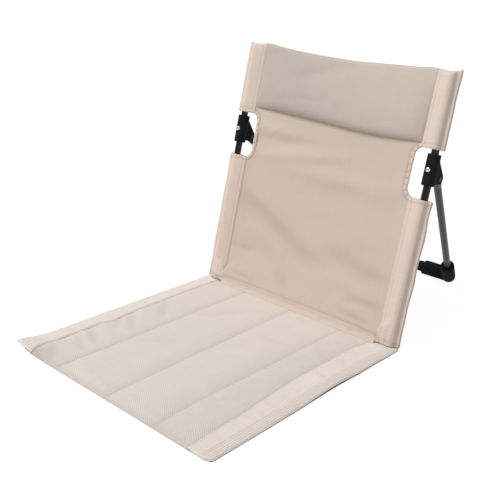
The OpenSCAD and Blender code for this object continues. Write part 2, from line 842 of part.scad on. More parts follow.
module elbow(side) {
    color(plastic_colour)
        on_side(side)
            in_chair()
                difference() {
                    union() {
                        along(foot_point, pivot_point)
                            rotate_extrude()
                                polygon(concat(
                                    arc([0, 0], elbow_d / 2, -90, 0, corner_steps),
                                    [[elbow_d / 2, socket_l - elbow_edge], [elbow_d / 2 - elbow_edge, socket_l],
                                     [0, socket_l]]
                                ));
                        translate([foot_span / 2, foot_back, arm_z])
                            rotate([0, -90, 0]) {
                                linear_extrude(arm_l - elbow_edge) polygon(rounded_square(arm_w, arm_edge_r));
                                linear_extrude(arm_l)
                                    polygon(rounded_square(arm_w - 2 * elbow_edge, arm_edge_r - elbow_edge));
                                cylinder(h = arm_l + collar_l, r = collar_d / 2);
                                cylinder(h = arm_l + collar_l + ring_l, r = ring_d / 2);
                            }
                    }
                    along(foot_point, pivot_point) {
                        translate([0, 0, socket_l - leg_depth - push_gap])
                            cylinder(h = leg_depth + cut, r = tube_r + push_gap);
                        translate([0, 0, socket_l - mouth_d / 2])
                            cylinder(h = mouth_d / 2 + push_gap, r1 = tube_r, r2 = mouth_d / 2);
                    }
                    translate([crossbar_end - cut, foot_back, arm_z])
                        rotate([0, 90, 0])
                            cylinder(h = crossbar_depth + cut + push_gap, r = tube_r + push_gap);
                    translate([0, foot_back - elbow_d, -elbow_d])
                        cube([foot_span, 2 * elbow_d, elbow_d]);
                    elbow_screw_places() cylinder(h = arm_w, r = rivet_d / 2 + push_gap, center = true);
                }
}

module crossbar() {
    crossbar_l = 2 * (crossbar_end + crossbar_depth);
    color(leg_colour)
        in_chair()
            translate([-crossbar_l / 2, foot_back, arm_z])
                rotate([0, 90, 0])
                    difference() {
                        tube(crossbar_l);
                        for (x = [screw_in, crossbar_l - screw_in])
                            translate([tube_r, 0, x])
                                rotate([0, 90, 0])
                                    cylinder(h = tube_r, r = rivet_d / 2 + push_gap, center = true);
                    }
}

screw_in = 20; // from the crossbar's end to its screw
screw_tail = 3;
screw_head_h = 1.2;
screw_head_r = 3.4;

// One screw under each arm, upwards into the crossbar.
module elbow_screw_places() {
    translate([crossbar_end + crossbar_depth - screw_in, foot_back, arm_lift]) children();
}

module elbow_screws() {
    screw_l = arm_w / 2 - tube_bore_r + screw_tail;
    color(leg_colour)
        for (side = [-1, 1])
            on_side(side)
                in_chair()
                    elbow_screw_places()
                        rotate_extrude()
                            polygon([
                                [0, -screw_head_h - push_gap], [screw_head_r / 2, -screw_head_h - push_gap],
                                [screw_head_r, -push_gap], [rivet_d / 2, -push_gap], [rivet_d / 2, screw_l],
                                [0, screw_l + rivet_d / 2]
                            ]);
}

seat_base();
seat_cover();
foam(0);  // foam_outer_left
foam(1);  // foam_inner_left
foam(2);  // foam_inner_right
foam(3);  // foam_outer_right
edge_band(-1);  // edge_band_left
edge_band(1);  // edge_band_right
bar_tunnel();
base_bar();
post(-1);  // post_left
post(1);  // post_right
post_cap(-1);  // post_cap_left
post_cap(1);  // post_cap_right
back_panel();
headrest_pad();
lower_sleeve(-1);  // lower_sleeve_left
lower_sleeve(1);  // lower_sleeve_right
upper_sleeve(-1);  // upper_sleeve_left
upper_sleeve(1);  // upper_sleeve_right
window_binding(-1);  // window_binding_left
window_binding(1);  // window_binding_right
bracket(-1);  // bracket_left
bracket(1);  // bracket_right
bracket_rivet(-1);  // bracket_rivet_left
bracket_rivet(1);  // bracket_rivet_right
pivot_pin(-1);  // pivot_pin_left
pivot_pin(1);  // pivot_pin_right
pivot_washers(-1);  // pivot_washers_left
pivot_washers(1);  // pivot_washers_right
leg(-1);  // leg_left
leg(1);  // leg_right
elbow(-1);  // elbow_left
elbow(1);  // elbow_right
crossbar();
elbow_screws();
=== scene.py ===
# %% [markdown]
# # A folding ground chair, dressed over its working frame
# The steel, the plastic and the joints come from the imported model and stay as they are.
# What is soft on the real chair is made here again: a channelled seat, a cloth back with
# sleeves, a headrest, bindings and all the stitching. Everything is in metres.

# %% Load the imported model
import json
import math

import bpy
import numpy as np
from mathutils import Matrix, Vector


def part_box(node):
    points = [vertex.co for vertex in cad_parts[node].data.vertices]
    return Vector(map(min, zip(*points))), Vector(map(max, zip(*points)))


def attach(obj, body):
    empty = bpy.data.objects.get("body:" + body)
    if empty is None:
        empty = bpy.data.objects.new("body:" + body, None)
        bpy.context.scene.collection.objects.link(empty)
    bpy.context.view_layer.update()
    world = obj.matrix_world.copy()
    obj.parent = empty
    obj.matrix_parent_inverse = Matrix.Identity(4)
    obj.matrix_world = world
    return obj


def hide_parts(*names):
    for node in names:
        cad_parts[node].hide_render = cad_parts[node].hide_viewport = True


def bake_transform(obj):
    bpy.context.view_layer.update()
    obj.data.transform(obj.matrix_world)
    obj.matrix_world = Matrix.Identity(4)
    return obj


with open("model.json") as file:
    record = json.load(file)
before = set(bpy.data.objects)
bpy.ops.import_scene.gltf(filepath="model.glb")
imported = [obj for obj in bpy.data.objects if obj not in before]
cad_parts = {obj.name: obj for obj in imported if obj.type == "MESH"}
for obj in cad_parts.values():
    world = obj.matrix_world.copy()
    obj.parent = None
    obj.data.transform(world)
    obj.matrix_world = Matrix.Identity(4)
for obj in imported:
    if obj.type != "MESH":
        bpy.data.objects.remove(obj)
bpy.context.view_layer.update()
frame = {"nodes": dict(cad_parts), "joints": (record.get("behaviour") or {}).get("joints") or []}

# %% [markdown]
# ## Sizes
# Every cloth piece lies on the frame, so its place is read from the frame's boxes.
# Two sets of axes are handy. On the seat, y runs forwards from the crease as a negative
# number. On the back, s runs up the posts from the crease and b points backwards.

# %% Sizes and places
MM = 0.001
base_low, base_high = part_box("seat_base")
HALF_W = base_high.x
BAND_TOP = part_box("edge_band_left")[1].z
TAIL = 8 * MM
CREASE_Y = base_high.y - TAIL
SEAT_L = CREASE_Y - base_low.y
RECLINE = math.radians(13.2)
BACK_H = 462 * MM
SLEEVE_W = 42 * MM
SLEEVE_IN = HALF_W - SLEEVE_W
POST_IN = 15 * MM
POST_X = HALF_W - POST_IN
INTO_BACK = np.array((0, math.cos(RECLINE), -math.sin(RECLINE)))
print("seat", round(SEAT_L / MM), "mm deep,", round(2 * HALF_W / MM), "mm wide")


def on_seat(x, y, z):
    """Points of the seat, from x, y forwards of the crease and z above the floor."""
    x, y, z = np.broadcast_arrays(x, y, z)
    return np.stack([x, y + CREASE_Y, z], axis=-1)


def on_back(x, b, s):
    """Points of the back, from x, b behind the posts' plane and s up the posts."""
    x, b, s = np.broadcast_arrays(x, b, s)
    y = CREASE_Y + s * math.sin(RECLINE) + b * math.cos(RECLINE)
    z = BAND_TOP + s * math.cos(RECLINE) - b * math.sin(RECLINE)
    return np.stack([x, y, z], axis=-1)


# %% [markdown]
# ## The camera
# The photograph was taken from the chair's right front, a little above it. The place and
# the turn of the camera come from matching the cloth's corners, so an edge in the render
# falls on the same edge of the picture.

# %% Camera
CAMERA_AT = (0.8167, -0.98925, 0.6051)
CAMERA_RIGHT = (0.7342, 0.6782, 0.0312)
CAMERA_DOWN = (0.2579, -0.2361, -0.9369)
CAMERA_AHEAD = (-0.6281, 0.6959, -0.3482)
LENS_MM = 55.92
SENSOR_MM = 36


def add_camera():
    lens = bpy.data.cameras.new("camera")
    lens.lens = LENS_MM
    lens.sensor_width = SENSOR_MM
    camera = bpy.data.objects.new("camera", lens)
    bpy.context.scene.collection.objects.link(camera)
    turn = Matrix([
        (right, -down, -ahead) for right, down, ahead in zip(CAMERA_RIGHT, CAMERA_DOWN, CAMERA_AHEAD)
    ]).to_4x4()
    camera.matrix_world = Matrix.Translation(CAMERA_AT) @ turn
    bpy.context.scene.camera = camera
    return camera


print("camera at", [round(c, 3) for c in add_camera().location])

# %% [markdown]
# ## Shader maths as plain sums
# A material is a web of nodes. Written as sums it is easier to read, so a small class
# holds one socket and turns + - * / and a few functions into Math nodes. Any other node
# comes from one method that sets its options first and then its inputs.

# %% A socket that can be reckoned with


class Wire:
    """The output of a node, used like a number."""

    def __init__(self, finish, socket):
        self.finish = finish
        self.socket = socket

    def __add__(self, other):
        return self.finish.sum("ADD", self, other)

    def __sub__(self, other):
        return self.finish.sum("SUBTRACT", self, other)

    def __rsub__(self, other):
        return self.finish.sum("SUBTRACT", other, self)

    def __mul__(self, other):
        return self.finish.sum("MULTIPLY", self, other)

    def __truediv__(self, other):
        return self.finish.sum("DIVIDE", self, other)

    __radd__ = __add__
    __rmul__ = __mul__

    def wave(self):
        """The size of the sine of a half turn for each unit: 0 at whole numbers, 1 between."""
        return self.finish.sum("ABSOLUTE", self.finish.sum("SINE", self * math.pi))

    def floor(self):
        return self.finish.sum("FLOOR", self)

    def clamp(self):
        return self.finish.node("ShaderNodeClamp", {}, {"Value": self})


class Finish:
    """A material and the nodes that make it."""

    def __init__(self, name, **shader):
        self.material = bpy.data.materials.new(name)
        self.material.use_nodes = True
        self.tree = self.material.node_tree
        self.shader = self.tree.nodes["Principled BSDF"]
        for socket, value in shader.items():
            self.shader.inputs[socket.replace("_", " ")].default_value = value

    def node(self, kind, options, inputs, out=0):
        """Adds a node: its options first, then the values or wires of its inputs."""
        made = self.tree.nodes.new(kind)
        for name, value in options.items():
            setattr(made, name, value)
        for socket, value in inputs.items():
            self.feed(made.inputs[socket], value)
        return Wire(self, made.outputs[out])

    def feed(self, socket, value):
        if isinstance(value, Wire):
            self.tree.links.new(value.socket, socket)
        else:
            socket.default_value = value

    def sum(self, operation, *values):
        return self.node("ShaderNodeMath", {"operation": operation}, dict(enumerate(values)))

    def set(self, socket, value):
        self.feed(self.shader.inputs[socket], value)

    def other(self, wire, out):
        """Another output of the node that a wire comes from."""
        return Wire(self, wire.socket.node.outputs[out])

    def place(self):
        """Where a point lies on the piece, in metres, for finishes that have no cloth map."""
        return self.node("ShaderNodeTexCoord", {}, {}, out="Object")

    def noise(self, where, scale, detail=2):
        return self.node("ShaderNodeTexNoise", {}, {"Vector": where, "Scale": scale, "Detail": detail})

    def mix(self, share, first, second):
        """Colours go through a Mix node, because a Math node would turn them grey."""
        return self.node("ShaderNodeMix", {"data_type": "RGBA"}, {0: share, 6: first, 7: second}, out=2)

    def tinted(self, tint, light):
        """A tint times a light that varies over the surface, as the base colour."""
        grey = self.node("ShaderNodeCombineColor", {}, {0: light, 1: light, 2: light})
        options = {"data_type": "RGBA", "blend_type": "MULTIPLY"}
        self.set("Base Color", self.node("ShaderNodeMix", options, {0: 1, 6: tint, 7: grey}, out=2))

    def bump(self, height, depth, strength=1):
        values = {"Height": height, "Distance": depth, "Strength": strength}
        self.set("Normal", self.node("ShaderNodeBump", {}, values))


def colour(red, green, blue):
    """A screen colour, 0 to 255, as the linear colour that a shader takes."""
    def linear(c):
        c = c / 255
        return c / 12.92 if c <= 0.04045 else ((c + 0.055) / 1.055) ** 2.4
    return (linear(red), linear(green), linear(blue), 1)


# %% [markdown]
# ## Woven cloth
# The cover is a plain weave: warp and weft pass over and under each other in turn. The
# nodes work in the cloth's own measure, which every cloth mesh carries as a map in
# metres, so the yarns keep their size on a flat seat and round a sleeve. A yarn is a
# little lighter or darker than the next, and faint diagonal lines come and go as they do in
# tightly woven cloth. The hollows between yarns and ribs are painted darker, as shade. Each
# mesh also carries its own painted light and shade: a stitched seam is painted darker,
# because light doesn't get into it, and so are folds and corners, while edges that meet the
# light are painted lighter. The side bands also have ribs along them.

# %% Woven cloth
CLOTH_MAP = "cloth"
SHADE = "shade"
DIAGONAL_STEP = 4.2 * MM
RIB_STEP = 4.6 * MM
PATCH_SCALE = 14
PATCH_GAIN = 4
PATCH_CUT = 1.4
YARN_LIGHT = 0.2
PATCH_LIGHT = 0.05
YARN_ACROSS = 0.6
YARN_ALONG = 0.02
YARN_BUMP = 0.6
RIB_BUMP = 4
WEAVE_DEPTH = 0.11 * MM
WAVE_MEAN = 2 / math.pi
COUNT_FROM = 1000


def woven(name, tint, yarn=1 * MM, contrast=0.14, diagonal=0.05, fade=None, rib=0, sheen=0.25, rough=0.86):
    """A weave: its yarns' width, and how strongly yarns, diagonal lines and ribs show."""
    finish = Finish(name, Roughness=rough, Sheen_Weight=sheen, Sheen_Roughness=0.5, Specular_IOR_Level=0.25)
    place = finish.node("ShaderNodeUVMap", {"uv_map": CLOTH_MAP}, {})
    x = finish.node("ShaderNodeSeparateXYZ", {}, {0: place})
    y = finish.other(x, 1)
    across = x / yarn
    along = y / yarn
    warp_on_top = finish.sum("MODULO", across.floor() + along.floor() + COUNT_FROM, 2)
    warp = across.wave() * (along.wave() * 0.5 + 0.5)
    weft = along.wave() * (across.wave() * 0.5 + 0.5)
    height = warp * warp_on_top + weft * (1 - warp_on_top)
    tones = []
    for share_x, share_y in ((YARN_ACROSS, YARN_ALONG), (YARN_ALONG, YARN_ACROSS)):
        stretched = finish.node("ShaderNodeCombineXYZ", {}, {0: across * share_x, 1: along * share_y})
        tones.append(finish.noise(stretched, 1))
    yarn_tone = tones[0] * warp_on_top + tones[1] * (1 - warp_on_top)
    patches = finish.noise(place, PATCH_SCALE, detail=3)
    lines = (((x + y) / DIAGONAL_STEP).wave() - WAVE_MEAN) * (patches * PATCH_GAIN - PATCH_CUT).clamp()
    if fade:
        lines = lines * (1 - y / fade).clamp()
    ribs = (x / RIB_STEP).wave()
    # The mesh's painted light and shade, which multiplies the cloth's colour.
    painted_light_and_shade = finish.node("ShaderNodeAttribute", {"attribute_name": SHADE}, {}, out="Fac")
    middle = 1 - (contrast + YARN_LIGHT + PATCH_LIGHT) / 2 - rib * WAVE_MEAN
    # Painted shade: the weave's hollows are darker than the yarns' tops, and the ribs' hollows darker than their
    # crests.
    light = height * contrast + yarn_tone * YARN_LIGHT + patches * PATCH_LIGHT
    light = (light + lines * diagonal + ribs * rib + middle) * painted_light_and_shade
    finish.tinted(tint, light)
    finish.bump(height + yarn_tone * YARN_BUMP + ribs * (rib * RIB_BUMP), WEAVE_DEPTH)
    return finish.material


# The back, headrest, sleeves and crease strip are of the seat's cloth. Their tints are warmer and darker than
# the seat's as painted light: they stand for the shade and the warm bounced light that fall on them.
SEAT_TINT = colour(226, 217, 208)
BAND_TINT = colour(234, 223, 214)
BACK_TINT = colour(211, 194, 177)
PAD_TINT = colour(206, 192, 181)
SLEEVE_TINT = colour(224, 205, 191)
STRIP_TINT = colour(220, 203, 189)
TAPE_TINT = colour(220, 202, 187)
BASE_TINT = colour(58, 54, 52)
seat_cloth = woven("seat cloth", SEAT_TINT, diagonal=0.24, fade=0.3)
band_cloth = woven("band cloth", BAND_TINT, yarn=1.4 * MM, contrast=0.16, rib=0.17)
back_cloth = woven("back cloth", BACK_TINT, diagonal=0.02)
strip_cloth = woven("strip cloth", STRIP_TINT, diagonal=0.03)
pad_cloth = woven("pad cloth", PAD_TINT, yarn=0.8 * MM, diagonal=0.03)
sleeve_cloth = woven("sleeve cloth", SLEEVE_TINT, yarn=1.4 * MM, contrast=0.24, diagonal=0.29)
base_cloth = woven("base cloth", BASE_TINT, yarn=0.9 * MM, sheen=0.1, rough=0.75)
print("seven weaves")

# %% [markdown]
# ## Tape and thread
# The cut-outs are bound with a ribbed tape, whose ribs run across it. The thread is two
# strands laid together. It is a shade darker than the cloth that it pulls down, or on the
# bands a shade lighter.

# %% Tape and thread
TAPE_RIB = 1.3 * MM
TAPE_DEPTH = 0.12 * MM
TAPE_SCALE = 60
THREAD_TWISTS = 900
THREAD_DEPTH = 0.05 * MM


def ribbed_tape():
    finish = Finish("binding tape", Roughness=0.8, Sheen_Weight=0.3, Specular_IOR_Level=0.25)
    place = finish.node("ShaderNodeUVMap", {"uv_map": CLOTH_MAP}, {})
    parts = finish.node("ShaderNodeSeparateXYZ", {}, {0: place})
    ribs = (finish.other(parts, 1) / TAPE_RIB).wave()
    painted_light_and_shade = finish.node("ShaderNodeAttribute", {"attribute_name": SHADE}, {}, out="Fac")
    # Painted shade: the ribs' hollows are darker than their tops, and the mesh's painted light and shade
    # multiplies the tape's colour.
    finish.tinted(TAPE_TINT, (ribs * 0.12 + finish.noise(place, TAPE_SCALE) * 0.14 + 0.82) * painted_light_and_shade)
    finish.bump(ribs, TAPE_DEPTH)
    return finish.material


def sewing_thread(name, tint):
    finish = Finish(name, Roughness=0.6, Sheen_Weight=0.2)
    inputs = {"Vector": finish.place(), "Scale": THREAD_TWISTS}
    twist = finish.node("ShaderNodeTexWave", {"bands_direction": "DIAGONAL"}, inputs)
    finish.tinted(tint, twist * 0.25 + 0.8)
    finish.bump(twist, THREAD_DEPTH)
    return finish.material


binding_tape = ribbed_tape()
seat_thread = sewing_thread("seat thread", colour(224, 212, 200))
band_thread = sewing_thread("band thread", colour(244, 236, 228))
back_thread = sewing_thread("back thread", colour(200, 180, 162))
print("a tape and three threads")

# %% [markdown]
# ## Paint, plastic and rivet steel
# Powder paint isn't flat: it flows into a fine orange peel, which breaks up reflections.
# Moulded plastic has a spark-worn grain and is glossier where hands rub it. The rivets
# are bare and bright, with the fine turning marks of the mandrel. One function makes all
# three: broad patches vary the colour and the roughness, and a fine grain the surface.

# %% Paint, plastic and rivet steel
# Each kind has its patches' scale, detail and roughness, and its grain's scale, detail,
# depth and strength.
PAINT = (40, 3, 0.12, 650, 1, 0.03 * MM, 0.5)
PLASTIC = (55, 4, 0.2, 1800, 2, 0.05 * MM, 0.6)
STEEL = (1500, 2, 0.15, 1500, 2, 0.02 * MM, 0.4)
WORN_PAINT = 1.5
RUBBED_PLASTIC = 1.7


def lighter(tint, times):
    return tuple(min(1, part * times) for part in tint[:3]) + (1,)


def hard_finish(name, kind, tint, patch_tint, rough, **shader):
    scale, detail, roughens, grain_scale, grain_detail, depth, strength = kind
    finish = Finish(name, **shader)
    patches = finish.noise(finish.place(), scale, detail)
    finish.set("Base Color", finish.mix(patches, tint, patch_tint))
    finish.set("Roughness", patches * roughens + (rough - roughens / 2))
    finish.bump(finish.noise(finish.place(), grain_scale, grain_detail), depth, strength)
    return finish.material


def powder_paint(name, tint, rough, coat):
    shader = {"Coat_Weight": coat, "Coat_Roughness": 0.12, "Specular_IOR_Level": 0.4}
    return hard_finish(name, PAINT, tint, lighter(tint, WORN_PAINT), rough, **shader)


def moulded_plastic(name, tint, rough):
    return hard_finish(name, PLASTIC, tint, lighter(tint, RUBBED_PLASTIC), rough, Specular_IOR_Level=0.03)


post_paint = powder_paint("gloss black paint", colour(7, 7, 8), 0.24, 0.14)
leg_paint = powder_paint("satin grey paint", colour(19, 19, 24), 0.42, 0.05)
black_plastic = moulded_plastic("moulded plastic", colour(29, 29, 32), 0.6)
washer_nylon = moulded_plastic("washer nylon", colour(205, 205, 198), 0.45)
rivet_greys = (colour(205, 205, 207), colour(240, 240, 240))
bright_steel = hard_finish("rivet steel", STEEL, *rivet_greys, 0.255, Metallic=1)

NODE_FINISHES = {
    "base_bar": post_paint, "post": post_paint, "leg": leg_paint, "crossbar": leg_paint,
    "pivot_pin": leg_paint, "elbow_screws": leg_paint, "post_cap": black_plastic,
    "bracket": black_plastic, "elbow": black_plastic, "bracket_rivet": bright_steel,
    "pivot_washers": washer_nylon,
}


def finish_of(node):
    """The finish whose name is the longest one that the node's name starts with."""
    fitting = [name for name in NODE_FINISHES if node.startswith(name)]
    return NODE_FINISHES[max(fitting, key=len)] if fitting else None


for node, piece in frame["nodes"].items():
    if finish_of(node):
        piece.data.materials.clear()
        piece.data.materials.append(finish_of(node))
print("finishes:", len(set(NODE_FINISHES.values())), "on the frame's own pieces")

# %% [markdown]
# ## Softer edges on plastic
# The frame's solids have sharp edges, as a drawing has. Real mouldings catch a thin line
# of light along every edge, because a mould can't be perfectly sharp. A Weld modifier
# joins the solid's faces and a small Bevel rounds its edges, and neither one changes the
# mesh that is underneath.

# %% Softer edges
EDGE_ROUNDS = {
    "bracket_left": 0.7 * MM, "bracket_right": 0.7 * MM, "elbow_left": 0.8 * MM, "elbow_right": 0.8 * MM,
}
JOIN_WITHIN = 0.01 * MM
ROUND_FROM = math.radians(40)


def soften_edges(piece, width):
    weld = piece.modifiers.new("join faces", "WELD")
    weld.merge_threshold = JOIN_WITHIN
    bevel = piece.modifiers.new("rounded edges", "BEVEL")
    bevel.width = width
    bevel.segments = 3
    bevel.limit_method = "ANGLE"
    bevel.angle_limit = ROUND_FROM
    bevel.harden_normals = True
    bevel.use_clamp_overlap = True


for node, width in EDGE_ROUNDS.items():
    soften_edges(frame["nodes"][node], width)
print("rounded edges on", len(EDGE_ROUNDS), "mouldings")

# %% [markdown]
# ## Cloth as a grid
# Sewn cloth follows straight seams, so a grid of rows and columns suits it: columns can
# crowd together at a seam, where the cloth turns sharply, and lie far apart elsewhere.
# One helper makes a mesh with its map in metres and a painted light and shade for each
# point, which the cloth's colour is multiplied by. A single grid is one layer, a second
# grid behind the first closes it to a pad, and a stack of closed rings is a tube.

# %% Grid meshes
CLOTH_T = 0.9 * MM


def steps_along(line):
    """Distance along a line of points, from its first point."""
    return np.concatenate([[0], np.cumsum(np.linalg.norm(np.diff(line, axis=0), axis=1))])


def cloth_map(grid):
    """The map of a grid in metres, measured along its middle row and its middle column."""
    rows, cols = grid.shape[:2]
    across = steps_along(grid[rows // 2])
    along = steps_along(grid[:, cols // 2])
    return np.stack(np.broadcast_arrays(across[None, :], along[:, None]), axis=-1)


def link(name, points, faces, maps, shade, material):
    mesh = bpy.data.meshes.new(name)
    mesh.from_pydata(points.tolist(), [], faces)
    layer = mesh.uv_layers.new(name=CLOTH_MAP)
    corners = np.array([loop.vertex_index for loop in mesh.loops])
    layer.data.foreach_set("uv", maps[corners].ravel())
    # Each point's painted light and shade.
    values = mesh.attributes.new(SHADE, "FLOAT", "POINT")
    values.data.foreach_set("value", shade.astype(np.float32))
    mesh.polygons.foreach_set("use_smooth", [True] * len(mesh.polygons))
    mesh.materials.append(material)
    mesh.validate()
    mesh.update()
    piece = bpy.data.objects.new(name, mesh)
    bpy.context.scene.collection.objects.link(piece)
    return piece


def grid_faces(rows, cols, first=0, flip=False):
    faces = []
    for i in range(rows - 1):
        for j in range(cols - 1):
            a = first + i * cols + j
            quad = (a, a + 1, a + cols + 1, a + cols)
            faces.append(quad[::-1] if flip else quad)
    return faces


def rim_faces(rows, cols):
    """Quads that close the space between two grids of the same size, all round."""
    size = rows * cols
    ring = [j for j in range(cols)]
    ring += [i * cols + cols - 1 for i in range(1, rows)]
    ring += [(rows - 1) * cols + j for j in range(cols - 2, -1, -1)]
    ring += [i * cols for i in range(rows - 2, 0, -1)]
    return [(b, a, a + size, b + size) for a, b in zip(ring, ring[1:] + ring[:1])]


def grid_piece(name, grid, material, shade):
    """One layer of cloth from a rows by columns grid of points."""
    faces = grid_faces(*grid.shape[:2])
    maps = cloth_map(grid).reshape(-1, 2)
    return link(name, grid.reshape(-1, 3), faces, maps, shade.ravel(), material)


def pad_piece(name, front, back, material, shade):
    """A closed pad between a front grid, seen with its columns to the right, and a back one."""
    rows, cols = front.shape[:2]
    faces = grid_faces(rows, cols) + grid_faces(rows, cols, rows * cols, flip=True) + rim_faces(rows, cols)
    points = np.concatenate([front.reshape(-1, 3), back.reshape(-1, 3)])
    maps = np.concatenate([cloth_map(front).reshape(-1, 2)] * 2)
    return link(name, points, faces, maps, np.concatenate([shade.ravel()] * 2), material)


def tube_piece(name, rings, material, shade, ends=False):
    """A tube of cloth from a stack of closed rings of points. With ends, it is capped."""
    count, size = rings.shape[:2]
    faces = []
    for i in range(count - 1):
        for k in range(size):
            a, b = i * size + k, i * size + (k + 1) % size
            faces.append((a, b, b + size, a + size))
    if ends:
        faces.append(tuple(range(size))[::-1])
        faces.append(tuple(range((count - 1) * size, count * size)))
    closed = np.concatenate([rings, rings[:, :1]], axis=1)
    maps = cloth_map(closed)[:, :size]
    return link(name, rings.reshape(-1, 3), faces, maps.reshape(-1, 2), shade.ravel(), material)


def thicken(piece, thickness=CLOTH_T, side=-1):
    """Gives one layer of cloth its thickness: all of it on the inner side, or half on each with side 0."""
    cloth = piece.modifiers.new("thickness", "SOLIDIFY")
    cloth.thickness = thickness
    cloth.offset = side


# %% [markdown]
# ## Wrinkles, folds and seams as numbers
# Three simple shapes make most of the life in a cloth. A wave is a smooth random
# surface, squeezed one way for wrinkles that run across a band. A fold is one crease
# between two points. A seam is the valley that a row of stitches pulls into the cloth,
# and the same formula paints shade into the cloth there, as FOLD_DARK does in the folds.

# %% Wrinkle helpers
WAVE_COUNT = 14
WAVE_LENGTH_SHARES = (0.7, 1.5)
FULL_TURN = 2 * math.pi
LAST_PHASE = 6.28
FOLD_END = 3
# How much painted shade a fold gets for each millimetre that it goes down.
FOLD_DARK = 0.036
NEAR_ZERO = MM * MM


def soft_waves(x, y, size, seed):
    """A smooth random surface of about -1 to 1, whose waves are about size long."""
    rng = np.random.default_rng(seed)
    total = 0
    for _ in range(WAVE_COUNT):
        turn = rng.uniform(0, FULL_TURN)
        length = size * rng.uniform(*WAVE_LENGTH_SHARES)
        along = x * math.cos(turn) + y * math.sin(turn)
        total = total + np.sin(along * FULL_TURN / length + rng.uniform(0, LAST_PHASE))
    return total / math.sqrt(WAVE_COUNT)


def waves_of(x, y, table):
    """Several soft waves in mm: rows of squeeze across, squeeze along, size, seed and height."""
    total = 0
    for across, along, size, seed, height in table:
        total = total + soft_waves(x * across, y * along, size * MM, seed) * height
    return total


def fold(x, y, start, end, width):
    """A crease from start to end: 1 along its middle, fading to its sides and ends."""
    (ax, ay), (bx, by) = start, end
    length = math.hypot(bx - ax, by - ay)
    ux, uy = (bx - ax) / length, (by - ay) / length
    along = ((x - ax) * ux + (y - ay) * uy) / length
    off = (x - ax) * uy - (y - ay) * ux
    taper = np.clip(1 - np.abs(2 * along - 1) ** FOLD_END, 0, 1)
    return taper * np.exp(-((off / width) ** 2))


def folds_of(x, y, table):
    """The sum of several creases, each a row of start, end, width and height in mm."""
    total = 0
    for start, end, width, height in table:
        ends = [(a * MM, b * MM) for a, b in (start, end)]
        total = total + fold(x, y, ends[0], ends[1], width * MM) * height * MM
    return total


def dents(height):
    """How deep a fold goes down, in mm, and 0 where it stands up."""
    return np.maximum(-height / MM, 0)


def dip(distance, width):
    """The valley at a seam: 1 on it, fading over width."""
    return np.exp(-((distance / width) ** 2))


def seam(distance, size):
    """A valley, or a painted line of shade or light. Its size is how deep or dark it is, and its width."""
    deep, width = size
    return deep * dip(distance, width)


def ramp(value, low, high):
    """0 below low, 1 above high and smooth between."""
    t = np.clip((value - low) / (high - low), 0, 1)
    return t * t * (3 - 2 * t)


def tapered(value, low, high, left):
    """What is left of something at low, rising to all of it at high."""
    return left + (1 - left) * ramp(value, low, high)


def rounded(distance, radius):
    """The height of a round edge, 0 to 1, at a distance in from it."""
    return np.sqrt(np.clip(1 - (1 - np.clip(distance / radius, 0, 1)) ** 2, 0, 1))


def stretches(start, *parts):
    """Places from start on through each part, given as where it ends and its number of steps."""
    places = [[start]]
    for end, steps in parts:
        places.append(np.linspace(start, end, steps + 1)[1:])
        start = end
    return np.concatenate(places)


# %% [markdown]
# ## Stitches
# A lockstitch shows as a row of short thread grains, sunk a little into the cloth. Each
# grain here is a spindle with five sides. A seam's grains are one mesh, and the seam
# follows the same formula as the cloth under it.

# %% Stitches
STITCH_L = 2.3 * MM
STITCH_STEP = 3.2 * MM
THREAD_R = 0.33 * MM
BAND_THREAD_R = 0.5 * MM
STITCH_SHARES = ((-0.5, 0.3), (-0.3, 1), (0.3, 1), (0.5, 0.3))
SIDES = 5
NOT_ALONG = (0.3, 0.2, 0.93)
TINY = 1e-9


def walk(line):
    """The middle of each stitch along a line of points, and the line's way there."""
    run = steps_along(line)
    places = np.arange(STITCH_STEP / 2, run[-1], STITCH_STEP)
    points, ahead = (
        np.stack([np.interp(at, run, line[:, k]) for k in range(3)], axis=-1)
        for at in (places, places + STITCH_STEP / 4)
    )
    ways = ahead - points
    return points, ways / np.maximum(np.linalg.norm(ways, axis=1, keepdims=True), TINY)


def sew(name, lines, body, thread, radius=THREAD_R):
    """One mesh of stitches along several lines."""
    points, faces = [], []
    for line in lines:
        for middle, way in zip(*walk(line)):
            side = np.cross(way, NOT_ALONG)
            side /= np.linalg.norm(side)
            up = np.cross(side, way)
            first = len(points)
            for along, girth in STITCH_SHARES:
                for k in range(SIDES):
                    turn = FULL_TURN * k / SIDES
                    off = side * math.cos(turn) + up * math.sin(turn)
                    points.append(middle + way * along * STITCH_L + off * girth * radius)
            last = first + (len(STITCH_SHARES) - 1) * SIDES
            for ring in range(first, last, SIDES):
                for k in range(SIDES):
                    a, b = ring + k, ring + (k + 1) % SIDES
                    faces.append((a, b, b + SIDES, a + SIDES))
            faces.append(tuple(range(first, first + SIDES))[::-1])
            faces.append(tuple(range(last, last + SIDES)))
    points = np.array(points)
    piece = link(name, points, faces, points[:, :2], np.ones(len(points)), thread)
    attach(piece, body)


# %% [markdown]
# ## Measured edges
# The real edges aren't straight: a band wanders, a top edge sags between its corners. Each
# such edge is a short table of measured points, in millimetres, with a smooth line drawn
# through them.

# %% A smooth line through measured points


def through(value, table):
    """The smooth line through a table of (place, height) points in mm, at value in metres."""
    places, heights = (np.array(column) * MM for column in zip(*table))
    slopes = np.gradient(heights, places)
    at = np.clip(value, places[0], places[-1])
    left = np.clip(np.searchsorted(places, at) - 1, 0, len(places) - 2)
    wide = places[left + 1] - places[left]
    share = (at - places[left]) / wide
    rest = 1 - share
    ends = heights[left] * (1 + 2 * share) * rest ** 2 + heights[left + 1] * share ** 2 * (3 - 2 * share)
    return ends + wide * (slopes[left] * share * rest ** 2 - slopes[left + 1] * rest * share ** 2)


